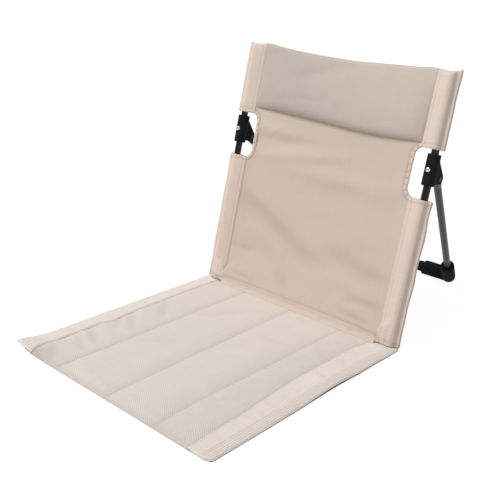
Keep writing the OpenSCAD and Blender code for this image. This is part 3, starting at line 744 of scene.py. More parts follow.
# %% [markdown]
# ## Letting cloth settle
# A padded channel could be drawn as a formula, but real cloth between two seams finds its
# own form. So the quilt, the panel and the headrest are given to Blender's cloth solver
# for a moment. The sewn points are held, a light pressure stands for the filling or the
# slack, and a little spare cloth lets wrinkles start at the seams. How far a point may
# move is capped, and the result is read back as plain points, so that nothing is left to
# simulate later.

# %% Cloth that settles
SETTLE_FRAMES = 20
SEWN_BELOW = 0.01
THREAD_STIFFNESS = 20


def evened(field):
    """A field of steps over a grid, each averaged with its four neighbours."""
    wide = np.pad(field, ((1, 1), (1, 1), (0, 0)), mode="edge")
    beside = (wide[1:-1, 1:-1], wide[:-2, 1:-1], wide[2:, 1:-1], wide[1:-1, :-2], wide[1:-1, 2:])
    return sum(beside) / len(beside)


def settle(name, grid, loose, swell, spare, cap, stiff=0.6):
    """Lets a grid of cloth find its form, each point as far as it is loose, 0 to 1."""
    rows, cols = grid.shape[:2]
    mesh = bpy.data.meshes.new(name)
    mesh.from_pydata(grid.reshape(-1, 3).tolist(), [], grid_faces(rows, cols))
    piece = bpy.data.objects.new(name, mesh)
    bpy.context.scene.collection.objects.link(piece)
    group = piece.vertex_groups.new(name="sewn")
    group.add([int(i) for i in np.flatnonzero(loose < SEWN_BELOW)], 1, "REPLACE")
    cloth = piece.modifiers.new("cloth", "CLOTH").settings
    cloth.vertex_group_mass = "sewn"
    cloth.quality = 5
    cloth.tension_stiffness = THREAD_STIFFNESS
    cloth.compression_stiffness = THREAD_STIFFNESS
    cloth.bending_stiffness = stiff
    cloth.use_pressure = True
    cloth.uniform_pressure_force = swell
    cloth.shrink_min = -spare
    cloth.effector_weights.gravity = 0
    for frame_number in range(1, SETTLE_FRAMES + 1):
        bpy.context.scene.frame_set(frame_number)
    settled = piece.evaluated_get(bpy.context.evaluated_depsgraph_get())
    points = np.empty(rows * cols * 3)
    settled.data.vertices.foreach_get("co", points)
    moved = evened(evened(points.reshape(grid.shape) - grid)) * loose[..., None]
    far = np.linalg.norm(moved, axis=-1, keepdims=True)
    bpy.data.objects.remove(piece)
    bpy.context.scene.frame_set(1)
    print(name, "moved by up to", round(far.max() / MM, 1), "mm, kept to", round(cap / MM, 1))
    return grid + moved * cap / (cap + far)

# %% [markdown]
# ## The seat
# The seat is a thin quilt of four channels, sewn down along three lines, on a dark coated
# base. Two bands close its sides. The cloth lies loose on the floor, so its edges lift a
# little here and there, and the front left corner stands up in a small ear. One function
# gives that lift, and every layer of the seat uses it.

# %% How the seat lies on the floor
EAR = (-HALF_W, -SEAT_L)
EAR_RISE = 8 * MM
EAR_W = 30 * MM
EAR_L = 34 * MM
LIFTS_MM = ((1, -68, 30, 1.2), (1, -178, 62, 4.6), (1, -286, 30, 0.6), (-1, -265, 70, 0.5))
LIFT_REACH = 62 * MM
FRONT_LIFT = 0.8 * MM
FRONT_LIFT_L = 40 * MM
FRONT_WAVE = 70 * MM
CORNER_R = 11 * MM
REAR_SEAM = 12 * MM


def from_front(y):
    return y + SEAT_L


def from_rear(y):
    """How far y lies in front of the seat's last seam."""
    return -y - REAR_SEAM


def lift(x, y):
    """How far the seat's cloth rises off the floor at x, y."""
    rise = EAR_RISE * dip(x - EAR[0], EAR_W) * dip(y - EAR[1], EAR_L)
    for side, middle, width, height in LIFTS_MM:
        edge = ramp(side * x, HALF_W - LIFT_REACH, HALF_W)
        rise = rise + edge * height * MM * dip(y - middle * MM, width * MM)
    front = ramp(-y, SEAT_L - FRONT_LIFT_L, SEAT_L) * (0.5 + 0.5 * np.sin(x / FRONT_WAVE))
    return rise + FRONT_LIFT * front


def round_corners(x, y):
    """Pulls the square corners of the seat in to round ones, all but the front left ear."""
    mid_y = (TAIL - SEAT_L) / 2
    half_l = (TAIL + SEAT_L) / 2
    out_x = np.abs(x) - (HALF_W - CORNER_R)
    out_y = np.abs(y - mid_y) - (half_l - CORNER_R)
    inside = (out_x > 0) & (out_y > 0) & ~((x < 0) & (y < mid_y))
    far = np.maximum(out_x, out_y)
    reach = np.hypot(out_x, out_y)
    share = np.where(inside & (reach > 0), far / np.maximum(reach, NEAR_ZERO), 1)
    new_x = np.where(inside, np.sign(x) * (HALF_W - CORNER_R + out_x * share), x)
    new_y = np.where(inside, mid_y + np.sign(y - mid_y) * (half_l - CORNER_R + out_y * share), y)
    return new_x, new_y


print("the front left corner rises", round(float(lift(*EAR)) / MM, 1), "mm")

# %% [markdown]
# ## The quilt
# The channels are only a few millimetres high and almost flat on top. The outer left one
# is slack, so it puckers against its band. The sewn lines are shallow valleys rather than
# cuts, because the foam under them is thin.

# %% Seams of the quilt
QUILT_LEFT = -200 * MM
QUILT_RIGHT = 192 * MM
CHANNEL_SEAM = 113 * MM
CHANNELS = 4
BETWEEN = (1, 2, 3)
BAND_EDGE_LEFT_MM = (
    (-451, 176), (-443, 183), (-430, 190), (-415, 193.5), (-380, 193), (-330, 193.5), (-300, 192),
    (-272, 187.5), (-240, 191), (-150, 192.5), (-90, 194), (8, 193),
)
BAND_EDGE_RIGHT_MM = (
    (-451, 185), (-440, 184), (-417, 181.5), (-381, 179), (-333, 178), (-275, 173), (-215, 168.5), (-150, 168),
    (-99, 168), (-48, 170), (-20, 174), (8, 176),
)
SEAM_DRIFT_MM = {
    1: ((-451, -4), (-300, -2), (-150, -3), (8, -1)),
    2: ((-451, 6), (-300, 3), (-100, 1), (8, 0)),
    3: ((-451, 2), (-400, -2), (-200, -2), (8, -1)),
}


def band_edge(side, y):
    """How far a band's inner edge lies from the middle of the seat."""
    return through(y, BAND_EDGE_LEFT_MM if side < 0 else BAND_EDGE_RIGHT_MM)


def seam_at(k, y):
    """The quilt's seams at y: the first and last under the bands, the others between channels."""
    middle = CHANNELS // 2
    if k in BETWEEN:
        return (k - middle) * CHANNEL_SEAM + through(y, SEAM_DRIFT_MM[k])
    return np.sign(k - middle) * band_edge(k - middle, y)


def from_seams(x, y):
    return np.min([np.abs(x - seam_at(k, y)) for k in BETWEEN], axis=0)


MID_SEAT = -SEAT_L / 2
print("seams half-way back, mm:", [round(float(seam_at(k, MID_SEAT)) / MM) for k in range(CHANNELS + 1)])

# %% The quilt's form
SEAM_H = 3.9 * MM
CROWN = 2.6 * MM
CROWN_SHARPNESS = (5, 1.1)
CROWN_FRONT = (0, 24 * MM, 0.3)
CROWN_REAR = (0, 30 * MM, 0.1)
FRONT_ROLL = 7 * MM
ROLL_SHARE = 0.92
VALLEY_W = 6.5 * MM
SEAM_SINK = (0.25 * MM, VALLEY_W / 2)
REAR_SINK = (0.5 * MM, 1.5 * MM)
QUILT_WAVES_MM = ((0.5, 1, 60, 5, 0.3), (1, 0.4, 110, 8, 0.4))
WAVES_FROM_SEAM = 22 * MM
PUCKER_STEP = 7 * MM
PUCKER_DRIFT = ((1, 1, 60, 3, 2),)
PUCKER_REACH = 10 * MM
PUCKER_FROM = 3 * MM
PUCKER_H = 0.12
FLAT_FRONT = 20 * MM
FLAT_REAR = 12 * MM
QUILT_FOLDS_MM = (
    ((-190, -148), (-128, -212), 9, -1.7), ((-194, -226), (-126, -280), 8, -2.0),
    ((-190, -250), (-158, -294), 6, -1.3), ((-194, -316), (-132, -354), 9, -1.7),
    ((-194, -346), (-128, -378), 8, -1.8), ((-188, -392), (-134, -434), 10, -1.3),
    ((-194, -200), (-134, -242), 10, 1.1), ((-194, -288), (-134, -326), 10, 1.0),
    ((-24, -38), (-102, -158), 8, -1.7), ((-38, -232), (-114, -304), 9, -1.5),
    ((158, -296), (122, -334), 6, -1.3), ((12, -134), (98, -126), 8, -1.0),
    ((50, -176), (8, -202), 7, -0.8), ((72, -203), (33, -226), 7, -0.7), ((122, -152), (162, -130), 7, -0.8),
)


def quilt_height(x, y):
    """Height of the quilt's top over the floor before it lifts."""
    crown = np.zeros(np.broadcast(x, y).shape)
    power, fullness = CROWN_SHARPNESS
    for k in range(CHANNELS):
        left, right = seam_at(k, y), seam_at(k + 1, y)
        u = np.clip((x - (left + right) / 2) / ((right - left) / 2), -1, 1)
        crown = np.where((x >= left) & (x <= right), (1 - np.abs(u) ** power) ** fullness, crown)
    crown = crown * tapered(from_front(y), *CROWN_FRONT) * tapered(from_rear(y), *CROWN_REAR)
    return SEAM_H + CROWN * crown


def quilt_wrinkles(x, y):
    """Small folds of the quilt, and the valleys in which its seams lie."""
    near = from_seams(x, y)
    waves = waves_of(x, y, QUILT_WAVES_MM) * ramp(near, 0, WAVES_FROM_SEAM)
    pucker = np.sin(y / PUCKER_STEP + waves_of(x, y, PUCKER_DRIFT))
    pucker = pucker * np.exp(-near / PUCKER_REACH) * ramp(near, 0, PUCKER_FROM)
    inside = ramp(from_front(y), 0, FLAT_FRONT) * ramp(from_rear(y), 0, FLAT_REAR)
    folds = (waves + PUCKER_H * pucker) * MM + folds_of(x, y, QUILT_FOLDS_MM)
    return folds * inside - seam(near, SEAM_SINK) - seam(from_rear(y), REAR_SINK)


print("a channel's top is", round(float(quilt_height(CHANNEL_SEAM / 2, MID_SEAT)) / MM, 1), "mm high")

# %% The quilt's painted shade
# Each mark of painted shade is how much darker the quilt is there, and the width over which it fades.
SEAM_LINE = (0.02, 1.2 * MM)
SEAM_SHADOW = (0.045, VALLEY_W)
REAR_LINE = (0.06, 1.4 * MM)
FRONT_SHADOW = (0.04, 22 * MM)
EAR_SHADOW = (0.19, 34 * MM)
EAR_SHADOW_IN = 50 * MM
LEFT_BAND_SHADOW = (0.07, 5 * MM)
RIGHT_BAND_SHADOW = (0.14, 1.8 * MM)
ROLL_LINE = (0.05, 2 * MM)
ROLL_SHADE = 0.16
RIGHT_SHADE = 0.04
RIGHT_SHADE_FROM = 60 * MM
RIGHT_SHADE_TO = 160 * MM


def quilt_shade(x, y):
    """The quilt's painted shade: darker in its seams and folds, by the bands and to the right."""
    near = from_seams(x, y)
    shade = 1 - seam(near, SEAM_LINE) - seam(near, SEAM_SHADOW)
    marks = (
        (from_rear(y), REAR_LINE), (from_front(y), FRONT_SHADOW), (from_front(y) - FRONT_ROLL, ROLL_LINE),
        (x - seam_at(0, y), LEFT_BAND_SHADOW), (x - seam_at(CHANNELS, y), RIGHT_BAND_SHADOW),
        (np.hypot(x - EAR[0] - EAR_SHADOW_IN, y - EAR[1]), EAR_SHADOW),
    )
    for distance, size in marks:
        shade = shade * (1 - seam(distance, size))
    roll = np.clip(from_front(y) / FRONT_ROLL, 0, 1)
    shade = shade * (1 - ROLL_SHADE * (1 - roll))
    shade = shade * (1 - FOLD_DARK * dents(folds_of(x, y, QUILT_FOLDS_MM)))
    return shade * (1 - RIGHT_SHADE * ramp(x, RIGHT_SHADE_FROM, RIGHT_SHADE_TO))


# %% The quilt
CHANNEL_SHARES = (1 - np.cos(np.pi * np.linspace(0, 1, 27))) / 2
LAPPED_STEPS = 3
SEAT_ROWS = (
    (-SEAT_L + FRONT_ROLL, 6), (-REAR_SEAM - 3 * MM, 103), (-REAR_SEAM - 2 * MM, 1),
    (-REAR_SEAM + 2 * MM, 6), (-REAR_SEAM + 3 * MM, 1), (TAIL, 5),
)
LOOSE_FROM_SEAM = 14 * MM
LOOSE_FRONT = 30 * MM
LOOSE_REAR = 20 * MM
LOOSE_SIDE = 12 * MM
COVER_UNDER = 1.2 * MM
THREAD_UP = 0.12 * MM


def quilt_x(y):
    """The quilt's columns at y, crowded together at the seams."""
    seams = [float(seam_at(k, y)) for k in range(CHANNELS + 1)]
    parts = [np.linspace(QUILT_LEFT, seams[0], LAPPED_STEPS + 1)[:-1]]
    parts += [a + (b - a) * CHANNEL_SHARES[:-1] for a, b in zip(seams[:-1], seams[1:])]
    return np.concatenate(parts + [np.linspace(seams[-1], QUILT_RIGHT, LAPPED_STEPS + 1)])


def looseness(x, y):
    """Where the quilt may settle: away from its seams, its ends and the bands."""
    loose = ramp(from_seams(x, y), 0, LOOSE_FROM_SEAM)
    loose = loose * ramp(from_front(y), FRONT_ROLL, LOOSE_FRONT) * ramp(from_rear(y), 0, LOOSE_REAR)
    return loose * ramp(x - seam_at(0, y), MM, LOOSE_SIDE) * ramp(seam_at(CHANNELS, y) - x, MM, LOOSE_SIDE)


def seat_cover():
    ys = stretches(-SEAT_L, *SEAT_ROWS)
    x = np.array([quilt_x(row) for row in ys])
    y = np.broadcast_to(ys[:, None], x.shape)
    shape = on_seat(x, y, quilt_height(x, y))
    grid = settle("quilt", shape, looseness(x, y), swell=1.5, spare=0.009, cap=0.8 * MM)
    x, y, top = grid[..., 0], grid[..., 1] - CREASE_Y, grid[..., 2]
    top = top + quilt_wrinkles(x, y) + lift(x, y)
    under = COVER_UNDER + lift(x, y)
    top = top - (top - under) * (1 - rounded(from_front(y), FRONT_ROLL)) * ROLL_SHARE
    shade = quilt_shade(x, y)
    x, y = round_corners(x, y)
    piece = pad_piece("seat_cover_quilt", on_seat(x, y, top), on_seat(x, y, under), seat_cloth, shade)
    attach(piece, "seat")
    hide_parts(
        "seat_cover", "foam_outer_left", "foam_inner_left", "foam_inner_right", "foam_outer_right",
    )


def quilt_line(x, y):
    return on_seat(x, y, quilt_height(x, y) + quilt_wrinkles(x, y) + lift(x, y) + THREAD_UP)


seat_cover()
seam_ys = np.linspace(-SEAT_L + 5 * MM, -REAR_SEAM, 150)
seat_lines = [quilt_line(seam_at(k, seam_ys), seam_ys) for k in BETWEEN]
rear_xs = np.linspace(seam_at(0, -REAR_SEAM), seam_at(CHANNELS, -REAR_SEAM), 140)
seat_lines.append(quilt_line(rear_xs, np.full_like(rear_xs, -REAR_SEAM)))
sew("seat_stitches", seat_lines, "seat", seat_thread)
print("a quilt of", CHANNELS, "channels")

# %% [markdown]
# ## The side bands
# Each band is a folded strip that laps over the quilt's edge. Its inner edge is a thin
# fold that stands a little proud and catches the light, and it is also painted lighter.
# Four rows of stitches run near the right one's edge and one near the left one's, and the
# strip puckers across. At the crease a last line of stitches crosses the band, and there
# it is lower, to leave room for the hem of the back when that folds down.

# %% The bands' form
BAND_ROWS = {1: (4 * MM, 8.6 * MM, 13.2 * MM, 17.8 * MM), -1: (3.2 * MM,)}
HOLE_STEP = 5.2 * MM
LAP_T = 1.1 * MM
BAND_H = 4.8 * MM
BAND_CROWN = 0.9 * MM
BAND_SHARPNESS = 9
BAND_END = (0, 6 * MM, 0.5)
BAND_STIFF = (9 * MM, 20 * MM, 0.25)
LIP_SHARE = 0.15
ROW_SINK = 0.2 * MM
ROW_W = 0.9 * MM
CROSS_SINK = (0.4 * MM, 1.3 * MM)
HEM_DROP = 1.1 * MM
HEM_ROOM_Y = (-45 * MM, -25 * MM)
HEM_ROOM_X = (183 * MM, 191 * MM)
BAND_WAVES_MM = ((0.25, 1, 19, 11, 0.2), (0.5, 1, 42, 12, 0.3))
BAND_FOLDS_MM = (
    ((170, -157), (206, -168), 4, -1.0), ((172, -165), (200, -178), 5, 0.6), ((184, -98), (207, -121), 5, -0.8),
    ((176, -333), (208, -326), 5, -0.7), ((180, -341), (206, -336), 5, 0.5), ((172, -60), (196, -66), 5, -0.5),
    ((178, -230), (205, -222), 7, -0.5), ((178, -262), (206, -266), 6, 0.4), ((182, -400), (208, -396), 7, -0.4),
    ((-196, -120), (-214, -112), 6, -0.4), ((-194, -232), (-212, -240), 7, -0.7),
    ((-192, -262), (-214, -272), 7, -0.6), ((-195, -352), (-212, -344), 8, -0.5),
    ((-194, -180), (-212, -186), 6, -0.4), ((-194, -400), (-214, -410), 8, -0.5),
)


def row_dip(x, width):
    """The valleys of the rows of stitches along a band's outer edge."""
    from_edge = HALF_W - np.abs(x)
    right, left = (np.min([np.abs(from_edge - row) for row in BAND_ROWS[side]], axis=0) for side in (1, -1))
    return dip(np.where(x > 0, right, left), width)


def band_height(x, y):
    """Height of a band's top over the floor."""
    inner = np.where(x < 0, band_edge(-1, y), band_edge(1, y))
    across = np.clip((np.abs(x) - inner) / (HALF_W - inner), 0, 1)
    crown = BAND_CROWN * (1 - np.abs(2 * across - 1) ** BAND_SHARPNESS) * tapered(from_rear(y), *BAND_END)
    folds = waves_of(x, y, BAND_WAVES_MM) * MM + folds_of(x, y, BAND_FOLDS_MM)
    free = tapered(HALF_W - np.abs(x), *BAND_STIFF) * ramp(across, 0, LIP_SHARE)
    height = BAND_H + crown + folds * free - ROW_SINK * row_dip(x, ROW_W) - seam(from_rear(y), CROSS_SINK)
    hem_room = ramp(y, *HEM_ROOM_Y) * (1 - ramp(np.abs(x), *HEM_ROOM_X))
    return height - HEM_DROP * hem_room + lift(x, y)


widths = [round((HALF_W - float(band_edge(side, MID_SEAT))) / MM) for side in (-1, 1)]
print("bands half-way back,", widths[0], "and", widths[1], "mm wide")

# %% The bands' painted light and shade
# Painted light and shade on the bands: darker in the stitch rows, across the crease, in folds and just inside
# the lip; lighter on the left band, on the lip and on the right band's outer edge.
ROW_LINE_W = 1 * MM
ROW_DARK = 0.06
HOLE_DARK = 0.16
LEFT_LIGHT = 0.03
CROSS_LINE = (0.1, 1.2 * MM)
BAND_FOLD_DARK = 2 * FOLD_DARK
LIP_LIGHT = (0.09, 1.2 * MM)
LIP_SHADOW = (0.1, 1.2 * MM)
LIP_W = 3.6 * MM
EDGE_LIGHT = 0.16
EDGE_LIGHT_WITHIN = (1 * MM, 4 * MM)


def band_shade(x, y, from_lip):
    """A band's painted light and shade: darker in its stitches and folds, lighter on its lip and edge."""
    right = x > 0
    # The painted shade in the right band's rows of stitches comes in dots.
    holes = 0.5 + 0.5 * np.cos(FULL_TURN * y / HOLE_STEP)
    rows = (ROW_DARK + HOLE_DARK * holes * right) * row_dip(x, ROW_LINE_W)
    shade = 1 - rows - seam(from_rear(y), CROSS_LINE) + LEFT_LIGHT * ~right
    shade = shade * (1 - BAND_FOLD_DARK * dents(folds_of(x, y, BAND_FOLDS_MM)))
    shade = shade * (1 + seam(from_lip, LIP_LIGHT)) * (1 - seam(from_lip - LIP_W, LIP_SHADOW))
    return shade * (1 + EDGE_LIGHT * right * (1 - ramp(HALF_W - np.abs(x), *EDGE_LIGHT_WITHIN)))


# %% Side bands
BAND_SHARES = np.concatenate([
    [0, 0.006, 0.02], np.linspace(0.05, 0.68, 16), np.linspace(0.7, 0.955, 26), [0.972, 0.985, 0.995, 1],
])
LIP_TO_SHARE = 0.03
BAND_PLACES = ((-REAR_SEAM - 4 * MM, 279), (-REAR_SEAM - 3 * MM, 1), (TAIL, 15))
BAND_UNDER = 1.1 * MM
LAPPED_WITHIN = (-4 * MM, 2 * MM)
LAP_SINK = 1.2 * MM
EDGE_R = 2.4 * MM
END_R = 2.6 * MM
EDGE_LOW = 0.3
EDGE_THIN = 0.25
BAND_THREAD_UP = 0.1 * MM
LIP_SEAM = 1.4 * MM


def edge_band(side, name):
    share, y = np.meshgrid(BAND_SHARES, stretches(-SEAT_L, *BAND_PLACES))
    inner = band_edge(side, y)
    x = side * (inner + (HALF_W - inner) * share)
    top = band_height(x, y)
    quilt_end = QUILT_RIGHT if side > 0 else -QUILT_LEFT
    lapped = 1 - ramp(np.abs(x) - quilt_end, *LAPPED_WITHIN)
    under = lift(x, y) + BAND_UNDER + (SEAM_H - LAP_SINK) * lapped
    under = np.where(share < LIP_TO_SHARE, top - LAP_T, under)
    rounding = np.minimum(rounded(HALF_W - np.abs(x), EDGE_R), rounded(from_front(y), END_R))
    middle = under + (top - under) * (0.5 - EDGE_LOW * (1 - rounding))
    thick = (top - under) / 2 * (EDGE_THIN + (1 - EDGE_THIN) * rounding)
    shade = band_shade(x, y, np.abs(x) - inner)
    x, y = round_corners(x, y)
    front, back = on_seat(x, y, middle + thick), on_seat(x, y, middle - thick)
    if side < 0:
        front, back, shade = front[:, ::-1], back[:, ::-1], shade[:, ::-1]
    piece = pad_piece(name + "_cloth", front, back, band_cloth, shade)
    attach(piece, "seat")
    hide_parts(name)


def band_lines(side):
    """Rows along a band's outer edge, one along its inner edge and one across it at the crease."""
    ys = np.linspace(-SEAT_L + 4 * MM, -REAR_SEAM, 170)
    columns = [np.full_like(ys, HALF_W - row) for row in BAND_ROWS[side]] + [band_edge(side, ys) + LIP_SEAM]
    lines = []
    for column in columns:
        x, y = round_corners(side * column, ys)
        lines.append(on_seat(x, y, band_height(side * column, ys) + BAND_THREAD_UP))
    across = side * np.linspace(float(band_edge(side, -REAR_SEAM)) + MM, HALF_W - 3 * MM, 30)
    rear = np.full_like(across, -REAR_SEAM)
    lines.append(on_seat(across, rear, band_height(across, rear) + BAND_THREAD_UP))
    return lines


edge_band(-1, "edge_band_left")
edge_band(1, "edge_band_right")
sew("band_stitches", band_lines(-1) + band_lines(1), "seat", band_thread, BAND_THREAD_R)
print("two bands along the sides")

# %% [markdown]
# ## The dark base
# The base cloth shows only as a dark line under the edges. It is one sheet, which ends a
# hair inside the right band, is drawn in at the front and left, and doesn't rise quite as
# far as the bands where they lift.

# %% The dark base
BASE_RIGHT = HALF_W - 0.3 * MM
BASE_LEFT = HALF_W - 5 * MM
BASE_FRONT = SEAT_L - 2.4 * MM
BASE_UP = 0.1 * MM
BASE_T = 0.9 * MM
BASE_RISE_SHARE = 0.62
BASE_EAR_IN = (14 * MM, 45 * MM)
BASE_LEFT_REACH = 80 * MM
BASE_STEPS = 90


def seat_base():
    xs = np.linspace(-BASE_LEFT, BASE_RIGHT, BASE_STEPS)
    ys = np.linspace(-BASE_FRONT, TAIL, BASE_STEPS)
    x, y = np.meshgrid(xs, ys)
    rise = BASE_RISE_SHARE * lift(x, y) * ramp(x, -HALF_W, BASE_LEFT_REACH - HALF_W)
    x, y = round_corners(x, y)
    drawn_in = seam(np.hypot(x - EAR[0], y - EAR[1]), BASE_EAR_IN)
    x, y = x + drawn_in, y + drawn_in
    top, under = on_seat(x, y, BASE_UP + BASE_T + rise), on_seat(x, y, BASE_UP + rise)
    piece = pad_piece("seat_base_sheet", top, under, base_cloth, np.ones_like(x))
    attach(piece, "seat")
    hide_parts("seat_base")


seat_base()
print("the base under the seat")

# %% [markdown]
# ## The tunnel and the crease
# The bar on which the back turns lies in a cloth tunnel. In front of it the quilt's cloth
# runs on as a narrow strip, which climbs from the seat's last seam and runs up in front of
# the panel's foot. The strip crosses the joint.

# %% Bar tunnel
BAR_AT = next(joint for joint in frame["joints"] if joint["name"] == "back_fold")["pos_m"]
BAR_Y = BAR_AT[1] - CREASE_Y
BAR_UP = BAR_Y * math.sin(RECLINE) + (BAR_AT[2] - BAND_TOP) * math.cos(RECLINE)
tunnel_low, tunnel_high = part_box("bar_tunnel")
TUNNEL_R = (tunnel_high.z - tunnel_low.z) / 2
TUNNEL_IN = 0.4 * MM
TUNNEL_RIPPLE = 0.16 * MM
RIPPLE_L = 22 * MM
RIPPLE_TURN = 8 * MM
CREASE_HALF_W = SLEEVE_IN - 0.4 * MM


def round_turns(count):
    """Directions all round a ring, the first one not repeated."""
    return np.linspace(0, FULL_TURN, count + 1)[:-1]


def bar_tunnel():
    xs = np.linspace(-CREASE_HALF_W, CREASE_HALF_W, 150)
    x, turn = np.meshgrid(xs, round_turns(40), indexing="ij")
    ripple = soft_waves(x, turn * RIPPLE_TURN, RIPPLE_L, 31) * TUNNEL_RIPPLE
    radius = TUNNEL_R - TUNNEL_IN + ripple
    rings = np.stack([x, BAR_AT[1] + radius * np.cos(turn), BAR_AT[2] + radius * np.sin(turn)], axis=-1)
    piece = tube_piece("bar_tunnel_cloth", rings, back_cloth, np.ones_like(x))
    thicken(piece)
    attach(piece, "seat")
    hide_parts("bar_tunnel")


bar_tunnel()
print("a tunnel round the bar, radius", round(TUNNEL_R / MM, 1), "mm")

# %% The strip in the crease
STRIP_R = TUNNEL_R + 0.35 * MM
STRIP_TOE = (-REAR_SEAM - 0.6 * MM, 4 * MM)
STRIP_BEND = (-8.6 * MM, 6.4 * MM)
STRIP_TURN = math.radians(24)
STRIP_WAVES_MM = ((1, 0.5, 18, 33, 0.4),)
TOE_LINE = (0.06, 0.07)
BEND_LINE = (0.04, 0.08)
BEND_AT = 0.62
STRIP_LEFT_DARK = 0.04


def strip_profile():
    """The strip from its foot on the seat up to the tunnel's front, then round under the hem."""
    share = np.linspace(0, 1, 12)[:, None]
    toe, bend = np.array(STRIP_TOE), np.array(STRIP_BEND)
    front = np.array((BAR_Y - STRIP_R, BAR_AT[2]))
    rise = toe * (1 - share) ** 2 + 2 * bend * share * (1 - share) + front * share ** 2
    turns = np.linspace(0, STRIP_TURN, 7)[1:]
    over = np.stack([BAR_Y - STRIP_R * np.cos(turns), BAR_AT[2] + STRIP_R * np.sin(turns)], axis=-1)
    return np.concatenate([rise, over])


def crease_strip():
    profile = strip_profile()
    xs = np.linspace(-CREASE_HALF_W, CREASE_HALF_W, 170)
    grid = np.array([on_seat(xs, y, z) for y, z in profile])
    run = np.linspace(0, 1, len(profile))[:, None]
    ripple = waves_of(grid[..., 0], grid[..., 2], STRIP_WAVES_MM) * MM
    grid[..., 1] -= ripple * np.sin(np.pi * run)
    # Painted shade: darker along the strip's foot and its bend, and towards the left.
    shade = 1 - seam(run, TOE_LINE) - seam(run - BEND_AT, BEND_LINE)
    shade = shade - STRIP_LEFT_DARK * ramp(-grid[..., 0], 0, HALF_W)
    piece = grid_piece("crease_strip_cloth", grid, strip_cloth, shade)
    thicken(piece)
    length = np.linalg.norm(np.diff(profile, axis=0), axis=1).sum()
    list(on_seat(0, *STRIP_TOE)[1:])
    BAR_AT[1] - STRIP_R
    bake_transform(piece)
    return length


print("crease strip", round(crease_strip() / MM), "mm from seat to back")

# %% [markdown]
# ## The back panel
# The panel leaves the front of the bar's tunnel and is stretched between the two sleeves,
# with a slight belly where a back has leant on it. Its sides follow the sleeves' seams
# and curve in round the two cut-outs. Slack cloth forms long shallow folds, most of which
# start at a corner, where something pulls on it.

# %% Lines of the back
WINDOW_TOP = BACK_H - 128 * MM
WINDOW_FOOT = WINDOW_TOP - 84 * MM
WINDOW_MID = (WINDOW_TOP + WINDOW_FOOT) / 2
WINDOW_IN = SLEEVE_IN - 8 * MM
WINDOW_R = 16 * MM
BINDING_W = 9 * MM
BLUNT_ENDS = (14 * MM, 30 * MM)
FOOT_NARROWS = 1 * MM
UNDER_SLEEVE = 0.5 * MM
UNDER_BINDING = 1.5 * MM
BINDING_GAP = 0.3 * MM
TOP_EDGE_MM = (
    (-226, 466), (-214, 463.4), (-203, 463), (-192, 465), (-181, 467), (-150, 464.3), (-103, 460.2),
    (-40, 457.2), (30, 455.6), (70, 457), (114, 458.2), (150, 459.2), (178, 460.7), (188, 459),
    (199, 456.4), (212, 458), (226, 462),
)


def sleeve_inner(s):
    """Where a sleeve meets the panel, from the middle of the back."""
    return SLEEVE_IN - FOOT_NARROWS * (1 - ramp(s, *BLUNT_ENDS))


def window_edge(s, grow):
    """The cut-out's inner edge at height s, moved in by grow."""
    half = WINDOW_MID - WINDOW_FOOT + grow
    radius = WINDOW_R + grow
    over = np.abs(s - WINDOW_MID) - (half - radius)
    bend = radius - np.sqrt(np.clip(radius ** 2 - np.clip(over, 0, radius) ** 2, 0, None))
    return np.where(over < radius, WINDOW_IN - grow + bend, HALF_W)


def panel_edge(s):
    """How far the panel reaches to each side, under the sleeves and under the bindings."""
    under_binding = window_edge(s, BINDING_W - UNDER_BINDING) - BINDING_GAP
    return np.minimum(sleeve_inner(s) + UNDER_SLEEVE, under_binding)


print("cut-outs from", round(WINDOW_FOOT / MM), "to", round(WINDOW_TOP / MM), "mm up the back")

# %% The panel's form
PANEL_T = 1.1 * MM
PANEL_FOOT = 10 * MM
PANEL_BELLY = 6 * MM
BELLY_FULLNESS = 0.8
PULL_FROM = 12.6 * MM
PULL_L = 18 * MM
PULL_L_MIDDLE = 60 * MM
PULL_IN = 0.7 * MM
SIDE_OUT = 0.9 * MM
SIDE_SHARPNESS = 14
WAVES_FROM = 40 * MM
FOLDS_FROM = (PULL_FROM - 2 * MM, 28 * MM)
FOLD_RISE = 1.7
PANEL_WAVES_MM = ((0.4, 1, 50, 41, 0.35), (0.25, 1, 110, 42, 0.45))
PANEL_FOLDS_MM = (
    ((-198, 184), (28, 80), 18, 3.3), ((-30, 104), (60, 76), 14, 0.8), ((-180, 206), (0, 134), 20, -1.0),
    ((-184, 132), (-40, 76), 18, -1.0), ((34, 114), (206, 88), 17, 2.2), ((30, 78), (180, 62), 16, -1.0),
    ((100, 46), (194, 50), 9, 2.0), ((54, 74), (80, 34), 13, 0.7), ((84, 34), (140, 8), 13, 1.1),
    ((96, 32), (152, 44), 9, -1.2), ((116, 20), (196, 14), 8, 2.4), ((-192, 22), (-88, 14), 8, 2.6),
    ((-184, 76), (-120, 72), 8, 1.3), ((-60, 52), (-14, 14), 9, 1.5), ((-186, 254), (74, 292), 11, -1.7),
    ((-140, 249), (200, 246), 16, -2.1), ((-186, 288), (-6, 300), 9, 1.1), ((-186, 312), (-56, 308), 12, -1.3),
    ((60, 170), (180, 150), 18, -0.7),
)


def to_side(x):
    """0 in the middle of the back and 1 at a sleeve."""
    return np.clip(np.abs(x) / SLEEVE_IN, 0, 1)


def foot_pull(x, s):
    """How far the panel stands forward at its foot, where it goes round the tunnel."""
    reach = PULL_L + PULL_L_MIDDLE * (1 - to_side(x) ** 4)
    radius = STRIP_R - PULL_IN
    round_bar = np.sqrt(np.clip(radius ** 2 - np.clip(BAR_UP - s, 0, None) ** 2, NEAR_ZERO, None))
    return round_bar * (1 - ramp(s, PULL_FROM, PULL_FROM + reach))


